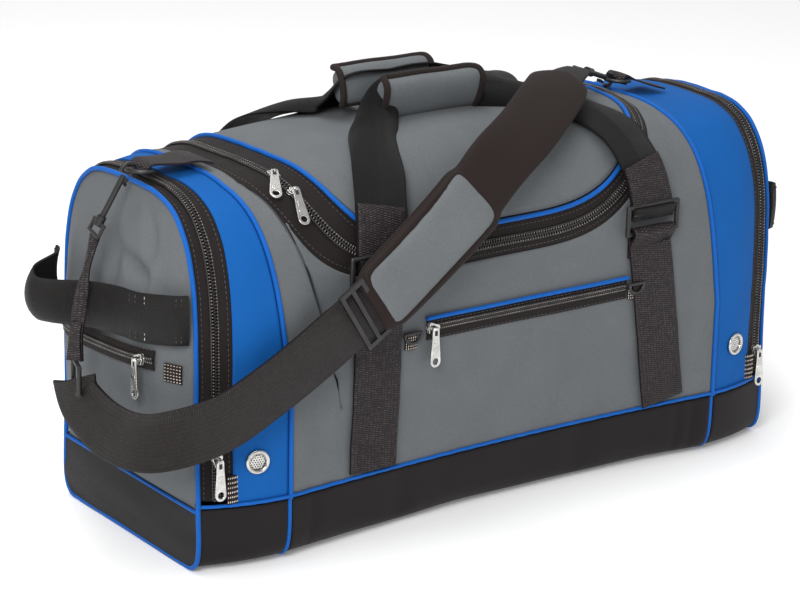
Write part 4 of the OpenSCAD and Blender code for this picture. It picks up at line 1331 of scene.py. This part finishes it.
STRAP_PATH = ((-392, -11, 162), (-392, -20, 145), (-390, -64, 131), (-386, -114, 134),
              (-366, -144, 144), (-328, -152, 153), (-289, -153, 170), (-250, -153, 190),
              (-209, -153, 214), (-171, -153, 237), (-125, -151, 268), (-76, -147, 303),
              (-30, -132, 332), (20, -110, 350), (70, -80, 366), (118, -46, 375), (156, -20, 374))
STRAP_FACE = ((-1, -0.35, 0.1), (-1, -0.1, 0.25), (-1, -0.1, 0.3), (-0.9, -0.5, 0.25),
              (-0.5, -0.85, 0.2), (-0.1, -1, 0.12), (0, -1, 0.1), (0, -1, 0.1), (0, -1, 0.12),
              (0, -1, 0.15), (0, -0.97, 0.25), (0.05, -0.92, 0.4), (0.1, -0.78, 0.6),
              (0.12, -0.6, 0.8), (0.12, -0.4, 0.9), (0.05, -0.2, 1), (0, -0.1, 1))
PAD_SPAN = (0.550, 0.708)
SMOOTH_SPAN = (0.548, 0.935)
SMOOTH_HALF = 27.0
UNDER_HALF = 32.0
PAD_HALF = 29.0


def strap_at(t):
    path = spline(STRAP_PATH, t)
    return path, unit(spline(STRAP_FACE, t))


def build_strap_webbing():
    t = np.linspace(0, 0.60, 220)
    path, face = strap_at(t)
    web = ribbon("wide_web", path, face, WEB_W, 2.0, "web_plain", bulge=0.8, cells=14)
    second = (t > 0.03) & (t < 0.50)
    under = ribbon("under_web", path[second] - face[second] * 2.4, face[second], WEB_W - 1.5, 1.8,
                   "web_plain", bulge=0.6, cells=12)
    parts = [web, under]
    t = np.linspace(0.94, 1.0, 40)
    path, face = strap_at(t)
    parts.append(ribbon("end_web", path, face, np.linspace(34, 24, 40), 2.0, "web_fine", bulge=0.4))
    return parts


def build_smooth_pad():
    """The plain black padded part of the strap, rounded at its end and narrowed at its start."""
    t = np.linspace(*SMOOTH_SPAN, 130)
    path, face = strap_at(t)
    side = unit(np.cross(face, tangents(path)))
    s = np.linspace(-1, 1, 21)
    end = np.clip((t - 0.897) / 0.038, 0, 1)
    start = np.clip((0.575 - t) / 0.027, 0, 1)
    half = mix(UNDER_HALF, SMOOTH_HALF, rise(t, PAD_SPAN[1] - 0.012, PAD_SPAN[1] + 0.006))
    half = half * np.sqrt(np.maximum(0.0009, 1 - end**2.4)) - 8 * start**1.6
    crown = 3.2 * (1 - np.abs(s) ** 4.0)
    centre = path + face * 1.4
    grid = (centre[:, None] + side[:, None] * (half[:, None] * s[None])[..., None]
            + face[:, None] * crown[None, :, None])
    top = sheet("smooth_top", grid[:, ::-1], 4.2, "pad")
    edges = [centre + side * (half * sign * 0.985)[:, None] - face * 1.4 for sign in (1, -1)]
    loop = np.concatenate([edges[0], edges[1][::-1]])
    parts = [top, tube("smooth_edge", smooth_path(loop, 300), 2.1, "binding")]
    for sign in (-1, 1):
        free = (t > PAD_SPAN[1] + 0.008) & (t < 0.89)
        inner = (centre + side * ((half - 6) * sign)[:, None] + face * 3.4)[free]
        parts.append(stitches("smooth_stitch", inner, face[free], "stitch"))
    return parts


def build_grey_pad():
    """Grey cushion with rounded corners on the black underlay, swollen by the cloth solver."""
    u = np.sin(np.linspace(-0.5, 0.5, 73) * math.pi) * 0.997
    t = mix(PAD_SPAN[0] + 0.006, PAD_SPAN[1], (u + 1) / 2)
    path, face = strap_at(t)
    side = unit(np.cross(face, tangents(path)))
    half = PAD_HALF * (1 - np.abs(u) ** 26) ** (1 / 3)
    s = np.linspace(-1, 1, 27)
    rounded = (1 - np.abs(s) ** 5)[None] * (1 - np.abs(u) ** 14)[:, None]
    centre = path + face * 4.2
    across = side[:, None] * (half[:, None] * s[None])[..., None]
    top = centre[:, None] + across + face[:, None] * (1.6 + 4.0 * rounded)[..., None]
    low = centre[:, None] + across - face[:, None] * (1.4 + 0.2 * rounded)[..., None]
    n, m = top.shape[:2]
    grid = np.concatenate([top.reshape(-1, 3), low.reshape(-1, 3)])
    k = np.arange(n * m).reshape(n, m)
    q = np.stack([k[:-1, :-1], k[:-1, 1:], k[1:, 1:], k[1:, :-1]], -1).reshape(-1, 4)
    faces = [tuple(f) for f in q] + [tuple(f[::-1] + n * m) for f in q]
    border = np.concatenate([k[:, 0], k[-1, 1:], k[::-1, -1][1:], k[0, ::-1][1:-1]])
    for a, b in zip(border, np.roll(border, -1)):
        faces.append((b, a, a + n * m, b + n * m))
    cushion = new_object("pad_cushion", grid, faces, "pad_grey")
    simulate(cushion, 4.0, 1.2, 1.8)
    cushion.data.materials.clear()
    cushion.data.materials.append(MAT["pad_grey"])
    way = unit(path[-1] - path[0])
    position_uv(cushion, way, np.cross(way, face[36]))
    outline = (centre[:, None] + across * 1.02)[:, [0, -1]]
    loop = np.concatenate([outline[:, 0], outline[::-1, 1], outline[:1, 0]])
    return [cushion, tube("pad_binding", smooth_path(loop, 260) + face[36] * 0.6, 3.0, "binding", 14)]


def build_strap():
    whole = join("strap_web", build_strap_webbing() + build_smooth_pad())
    done(whole, "shoulder_strap", ["strap_webbing"])
    done(join("shoulder_pad", build_grey_pad()), "shoulder_strap", ["strap_pad"])

    loop = np.array([-391.0, -12, 164])
    path = spline(((-364, 0, 286), (-373, -1, 258), (-381, -4, 230), (-387, -8, 204),
                   tuple(loop + [0, 0, 15])), np.linspace(0, 1, 120))
    face = unit(spline(((-0.9, -0.5, 0), (-1, 0.1, 0), (-0.6, -0.8, 0), (-1, -0.3, 0),
                        (-0.95, -0.4, 0)), np.linspace(0, 1, 120)))
    width = mix(9, 17, np.linspace(0, 1, 120) ** 2)
    parts = [ribbon("tail", path, face, width, 1.8, "web", bulge=0.4, cells=8,
                    roll=0.9 * (1 - np.linspace(0, 1, 120)))]
    lap = path[80:] + face[80:] * 1.9
    parts.append(ribbon("tail_lap", lap, face[80:], width[80:] - 1, 1.6, "web", bulge=0.3, cells=8))
    done(join("strap_tail_web", parts), "shoulder_strap", ["strap_tail"])


# ---------------------------------------------------------------- tabs and vents

POCKET_RINGS = ((-119, 190), (140, 194))
VENTS = ((-281, 101), (277, 108))


def build_tabs():
    parts = []
    t = np.linspace(0, 1, 60)
    up = np.repeat([[0, 0, 1.0]], 60, 0)
    for points, widths in (
        (((-266, -14, 343), (-280, -14, 346), (-296, -14, 345.5), (-310, -14, 346.5),
          (-321.5, -14, 347.5), (-327, -14, 345), (-326, -14, 341)), (42, 30)),
        (((266, -4, 342), (254, -4, 345.5), (240, -4, 350.5), (230, -4, 354.5), (221, -4, 359.2),
          (217.5, -4, 356), (221, -4, 352)), (36, 26)),
    ):
        path = spline(points, t)
        way = tangents(path)
        normal = unit(np.cross(way, [0, 1.0, 0]))
        normal = np.where((normal @ up[0])[:, None].mean() < 0, -normal, normal)
        parts.append(ribbon("d_tab", path, normal, mix(widths[0], widths[1], rise(t, 0, 0.6)), 1.6,
                            "web", bulge=0.5))
        parts += [stitches("tab_stitch", path[8:30] + normal[8:30] * 0.9
                           + np.array([0, s * 9.0, 0]), normal[8:30], "stitch") for s in (-1, 1)]
    for x, z in POCKET_RINGS:
        a = front_angle(x, z - 8)
        n = skin_normal(x, a)
        centre = cloth(x, a, 1.6)
        parts += dotted_tab("ring_tab", centre, np.cross(n, [1.0, 0, 0]), n, 15, 14)
    for side, z in ((-1, 78.0), (1, 78.0)):
        x = side * (END_X - BAND_BACK + 1)
        a = front_angle(x, z)
        n = skin_normal(x, a)
        parts += dotted_tab("zip_tab", cloth(x, a, 1.5), np.cross(n, [1.0, 0, 0]), n, 26, 11)
    done(join("tabs", parts), "bag", ["webbing_tabs"])


def lathe(name, profile, material, sides=48):
    """Turned shape round Z from (radius, height) pairs; closed where the radius is 0."""
    turn = np.linspace(0, 2 * math.pi, sides, endpoint=False)
    profile = np.asarray(profile, float)
    points = np.stack([profile[:, None, 0] * np.cos(turn), profile[:, None, 0] * np.sin(turn),
                       profile[:, None, 1] + 0 * turn], -1)
    return new_object(name, points.reshape(-1, 3), round_faces(len(profile), sides), material)


def place(obj, origin, x_axis, z_axis):
    """Moves a piece built at the origin, in its mesh, to a place and two directions."""
    z = unit(z_axis)
    x = unit(np.asarray(x_axis, float) - (np.asarray(x_axis, float) @ z) * z)
    y = np.cross(z, x)
    m = Matrix([[*row, o * MM] for row, o in zip(np.stack([x, y, z], 1), origin)] + [[0, 0, 0, 1]])
    obj.data.transform(m)
    return obj


def build_vents():
    parts = []
    for x, z in VENTS:
        a = front_angle(x, z)
        n = slope_normal(x, a)
        origin = cloth(x, a, 0.4)
        turn = np.linspace(-0.4, math.pi, 12)
        rim_profile = [(9.4 + 1.7 * math.cos(q), 1.0 + 1.5 * math.sin(q)) for q in turn]
        rim_profile += [(7.6, 0.2), (7.6, -1.2)]
        rim_profile = [(10.8, -1.2)] + rim_profile
        dish = [(7.9, -0.9), (7.9, 0.5), (5.4, 0.9), (2.5, 1.15), (0.05, 1.2)]
        parts.append(place(lathe("vent_rim", rim_profile, "nickel"), origin, (1, 0, 0), n))
        parts.append(place(lathe("vent_disc", dish, "nickel", 40), origin, (1, 0, 0), n))
        spots = [((i + 0.5 * (j % 2)) * 2.3, j * 2.0) for i in range(-4, 5) for j in range(-4, 5)]
        spots = np.array([(p, q) for p, q in spots if math.hypot(p, q) < 6.9])
        r = np.hypot(spots[:, 0], spots[:, 1])
        places = np.stack([spots[:, 0], spots[:, 1], 1.2 - 0.0115 * r**2], -1)
        holes = scatter("vent_holes", places, many((1, 0, 0), len(places)),
                        many((0, 0, 1), len(places)), (0.72, 0.72, 0.22), "dark")
        parts.append(place(holes, origin, (1, 0, 0), n))
    done(join("vent_discs", parts), "bag", ["vents"])


# ---------------------------------------------------------------- sliders and pulls


def outline_solid(name, outline, z0, z1, material, bevel=0.35, hole=None):
    """Flat part cut from an outline, with an optional round hole, and softened edges."""
    curve = bpy.data.curves.new(name, "CURVE")
    curve.dimensions = "2D"
    curve.fill_mode = "BOTH"
    loops = [outline]
    if hole is not None:
        hx, hy, hr = hole
        turn = np.linspace(0, 2 * math.pi, 28, endpoint=False)
        loops.append([(hx + hr * math.cos(q), hy + hr * math.sin(q)) for q in turn])
    for loop in loops:
        line = curve.splines.new("POLY")
        line.points.add(len(loop) - 1)
        for point, (x, y) in zip(line.points, loop):
            point.co = (x * MM, y * MM, 0, 1)
        line.use_cyclic_u = True
    curve.extrude = (z1 - z0) / 2 * MM - bevel * MM
    curve.bevel_depth = bevel * MM
    curve.bevel_resolution = 2
    curve.offset = -bevel * MM
    holder = bpy.data.objects.new(name, curve)
    bpy.context.scene.collection.objects.link(holder)
    graph = bpy.context.evaluated_depsgraph_get()
    mesh = bpy.data.meshes.new_from_object(holder.evaluated_get(graph))
    bpy.data.objects.remove(holder)
    mesh.transform(Matrix.Translation((0, 0, (z0 + z1) / 2 * MM)))
    mesh.materials.clear()
    mesh.materials.append(MAT[material])
    obj = bpy.data.objects.new(name, mesh)
    bpy.context.scene.collection.objects.link(obj)
    return obj


def arc(cx, cy, r, a0, a1, n):
    return [(cx + r * math.cos(math.radians(a)), cy + r * math.sin(math.radians(a)))
            for a in np.linspace(a0, a1, n)]


ROD_Z = 5.4
PULL_L = 36.0
PULL_R = 5.6
# How high each kind of slider stands on the skin
MAIN_LIFT, POCKET_LIFT, END_LIFT, FLAP_LIFT = 0.9, 3.2, 2.2, 4.3
# Lid sliders: place on the zip line, turn of the pull and how far it droops, in degrees
MAIN_SLIDERS = (("left", 145, 62, 9), ("right", 141, 80, 9))
END_SLIDERS = ((-1, "left", 106), (1, "right", 92))


def slider_mesh(name):
    """Zip slider: crown-shaped plate with two wings, domed body and a bridge over the rod."""
    plate = ([(-5.2, -2.6)] + arc(-4.6, 0, 2.9, 250, 110, 8)[1:-1] + [(-5.2, 2.6), (-1.6, 3.7)]
             + [(0.6, 4.9), (3.0, 5.3), (4.8, 4.3), (4.2, 2.4), (5.4, 1.2), (5.9, 0.0)]
             + [(5.4, -1.2), (4.2, -2.4), (4.8, -4.3), (3.0, -5.3), (0.6, -4.9), (-1.6, -3.7)])
    parts = [outline_solid(name + "_plate", plate, 0.2, 2.2, "nickel", 0.5),
             outline_solid(name + "_low", plate, -1.6, -0.4, "nickel", 0.3)]
    bridge = [(-3.6, 1.8), (-3.0, 4.6), (-1.8, 6.6), (0.0, 7.4), (1.8, 6.6), (3.0, 4.6), (3.6, 1.8),
              (2.3, 1.8), (1.7, 4.4), (0.0, 6.5), (-1.7, 4.4), (-2.3, 1.8)]
    arch = outline_solid(name + "_bridge", bridge, -1.4, 1.4, "nickel", 0.35)
    arch.data.transform(Matrix.Rotation(math.radians(90), 4, "X"))
    parts.append(arch)
    return join(name, parts)


def pull_mesh(name):
    """Zip pull along -X from the rod: an eye round the rod, waisted neck, long tab, round hole."""
    end = -PULL_L + PULL_R
    body = (arc(end, 0, PULL_R, 90, 270, 16) + [(-24, -5.2), (-14, -4.3), (-8.5, -3.9)]
            + [(-1.0, -3.7), (1.6, -2.8), (1.6, 2.8), (-1.0, 3.7)]
            + [(-8.5, 3.9), (-14, 4.3), (-24, 5.2)])
    tab = outline_solid(name, body, -1.0, 1.0, "nickel", 0.45, (end, 0, 3.0))
    window = [(-6.4, -1.7), (-0.6, -1.7), (-0.6, 1.7), (-6.4, 1.7)]
    dark = outline_solid(name + "_window", window, -1.08, 1.08, "dark", 0.2)
    edge = [(-25.0, -3.0), (-13, -2.2), (-13, 2.2), (-25.0, 3.0)]
    raised = outline_solid(name + "_face", edge, 0.8, 1.25, "nickel", 0.2)
    low = outline_solid(name + "_back", edge, -1.25, -0.8, "nickel", 0.2)
    return join(name, [tab, dark, raised, low])


def local_axes(x, a, spin):
    """Directions of a slider on the skin: its line turned by spin, and outward."""
    n = skin_normal(x, a)
    across = np.array([0, n[2], -n[1]])
    c, s = math.cos(math.radians(spin)), math.sin(math.radians(spin))
    return c * np.array([1.0, 0, 0]) + s * across, n


def rim_spin(t):
    x, a = rim(t, COIL_LINE)
    ahead = bare_skin(*rim(t - 1, COIL_LINE)) - bare_skin(*rim(t + 1, COIL_LINE))
    n = skin_normal(x, a)
    return math.degrees(math.atan2(ahead[1] * n[2] - ahead[2] * n[1], ahead[0]))


def droop(x_axis, z_axis, angle):
    x_axis, z_axis = np.asarray(x_axis, float), np.asarray(z_axis, float)
    c, s = math.cos(math.radians(angle)), math.sin(math.radians(angle))
    return c * x_axis + s * z_axis, c * z_axis - s * x_axis


def add_slider(node_slider, node_pull, origin, x_slide, x_pull, normal, hang=0.0):
    slider = place(slider_mesh(node_slider + "_metal"), origin, x_slide, normal)
    done(slider, node_slider, [node_slider])
    x_down, z_up = droop(x_pull, normal, hang)
    pivot = np.asarray(origin) + unit(normal) * ROD_Z
    pull = place(pull_mesh(node_pull + "_metal"), pivot, x_down, z_up)
    done(pull, node_pull, [node_pull])


def build_sliders():
    for word, t, spin, hang in MAIN_SLIDERS:
        x, a = rim(t, COIL_LINE)
        origin = bare_skin(x, a) + MAIN_LIFT * skin_normal(x, a)
        x_slide, n = local_axes(x, a, rim_spin(t) + (180 if word == "right" else 0))
        x_pull, _ = local_axes(x, a, spin)
        add_slider("main_slider_" + word, "main_pull_" + word, origin, x_slide, x_pull, n, hang)
    x = POCKET_X[0] + 5
    a = front_angle(x, POCKET_Z - POCKET_DROP)
    x_slide, n = local_axes(x, a, 180)
    x_pull, _ = local_axes(x, a, 90)
    origin = bare_skin(x, a) + POCKET_LIFT * n
    add_slider("pocket_slider", "pocket_pull", origin, x_slide, x_pull, n)
    for side, word, z in END_SLIDERS:
        x = side * (END_X - COIL_BACK)
        a = front_angle(x, z)
        x_pull, n = local_axes(x, a, 90)
        origin = bare_skin(x, a) + END_LIFT * n
        add_slider("end_slider_" + word, "end_pull_" + word, origin, x_pull, x_pull, n)
    y = FLAP_ZIP_Y[0]
    z = flap_zip_z(y) - 4
    origin = np.array([-(END_X + flap_surface(y, z)) - FLAP_LIFT, y, z])
    out = np.array([-1.0, 0, 0])
    add_slider("flap_slider", "flap_pull", origin, (0, -1, 0), (0, 0, 1), out)


# ---------------------------------------------------------------- hardware kept from the CAD model


def finish_hardware():
    rounded = ("strap_adjuster", "base_board")
    finishes = {
        "plastic": ("d_rings", "pocket_ring_left", "pocket_ring_right", "front_handle_rings",
                    "back_handle_rings", "strap_adjuster", "strap_loop", "hook_left", "hook_right",
                    "hook_gate_left", "hook_gate_right"),
        "board": ("base_board",),
    }
    for finish, names in finishes.items():
        for name in names:
            obj = NODES[name]
            obj.data.materials.clear()
            obj.data.materials.append(MAT[finish])
            obj.data.polygons.foreach_set("use_smooth", np.ones(len(obj.data.polygons), bool))
            if name in rounded:
                bevel = obj.modifiers.new("soft_edges", "BEVEL")
                bevel.width = 0.9 * MM
                bevel.segments = 3
                bevel.limit_method = "ANGLE"
            else:
                split = obj.modifiers.new("crisp_edges", "EDGE_SPLIT")
                split.split_angle = math.radians(45)


# ---------------------------------------------------------------- stage


def material_stage():
    g = Graph("pale_floor")
    base = g.blend(g.ramp(g.noise(3, 2), 0.3, 0.7), (0.94, 0.94, 0.94), (0.95, 0.95, 0.95))
    g.shader.inputs["Emission Color"].default_value = (1, 1, 1, 1)
    g.shader.inputs["Emission Strength"].default_value = 0.12
    return g.finish(base, 0.9, specular=0.1)


def build_stage():
    MAT["floor"] = material_stage()
    floor = new_object("floor", [(-6000, -6000, -0.4), (6000, -6000, -0.4), (6000, 6000, -0.4),
                                 (-6000, 6000, -0.4)], [(0, 1, 2, 3)], "floor")
    world = bpy.data.worlds.new("studio")
    world.use_nodes = True
    background = world.node_tree.nodes["Background"]
    background.inputs[0].default_value = (1, 1, 1, 1)
    seen = world.node_tree.nodes.new("ShaderNodeLightPath").outputs["Is Camera Ray"]
    strength = world.node_tree.nodes.new("ShaderNodeMapRange")
    strength.inputs[3].default_value, strength.inputs[4].default_value = 0.62, 1.1
    world.node_tree.links.new(seen, strength.inputs[0])
    world.node_tree.links.new(strength.outputs[0], background.inputs[1])
    bpy.context.scene.world = world

    def area(name, place_at, size, power, target=(0, 0, 0.17)):
        light = bpy.data.lights.new(name, "AREA")
        light.shape = "RECTANGLE"
        light.size, light.size_y = size
        light.energy = power
        lamp = bpy.data.objects.new(name, light)
        lamp.location = place_at
        lamp.rotation_mode = "QUATERNION"
        lamp.rotation_quaternion = (Vector(place_at) - Vector(target)).to_track_quat("Z", "Y")
        bpy.context.scene.collection.objects.link(lamp)

    area("key", (-2.1, -1.7, 1.9), (1.2, 1.2), 62)
    area("fill", (1.9, -1.9, 1.2), (1.6, 1.6), 5)
    area("top", (-0.3, 0.3, 2.4), (1.8, 1.2), 30)
    bpy.context.scene.view_settings.view_transform = "Standard"
    bpy.context.scene.view_settings.look = "None"


# Turn round the bag, height and roll of the viewpoint, in degrees
VIEW_ANGLES = (-37.15, 17.86, 1.69)


def build_camera():
    """The viewpoint: low over the left front corner, slightly rolled."""
    azimuth, elevation, roll = (math.radians(angle) for angle in VIEW_ANGLES)
    distance, target = 2.6402, Vector((0, 0, 0.166))
    right = Vector((math.cos(azimuth), math.sin(azimuth), 0))
    back = Vector((math.sin(azimuth) * math.cos(elevation), -math.cos(azimuth) * math.cos(elevation),
                   math.sin(elevation)))
    up = back.cross(right)
    rolled_right = math.cos(roll) * right + math.sin(roll) * up
    rolled_up = back.cross(rolled_right)
    data = bpy.data.cameras.new("camera")
    data.sensor_width = 36
    data.lens = 124.75
    data.shift_x = -0.0366
    data.shift_y = 0.0042
    data.clip_end = 60
    camera = bpy.data.objects.new("camera", data)
    spot = target + back * distance
    camera.matrix_world = Matrix([
        [rolled_right[i], rolled_up[i], back[i], spot[i]] for i in range(3)] + [[0, 0, 0, 1]])
    bpy.context.scene.collection.objects.link(camera)
    bpy.context.scene.camera = camera


build_base()
build_front()
build_back()
build_side_bands()
build_inside()
build_lid_zip()
build_end_zips()
build_pocket()
build_piping()
build_lid()
for flap_side, flap_word in SIDES:
    build_flap(flap_side, flap_word)
    build_grab(flap_side, flap_word)
build_flap_pocket()
build_straps()
for handle_word, grip_at, handle_turn, sleeve_at, sleeve_size, sleeve_tilt in HANDLES:
    build_handle(handle_word, grip_at, handle_turn)
for handle_word, grip_at, handle_turn, sleeve_at, sleeve_size, sleeve_tilt in HANDLES:
    build_grip(handle_word, handle_word + "_handle", sleeve_at, sleeve_size, sleeve_tilt)
build_strap()
build_tabs()
build_vents()
build_sliders()
finish_hardware()
build_stage()
build_camera()
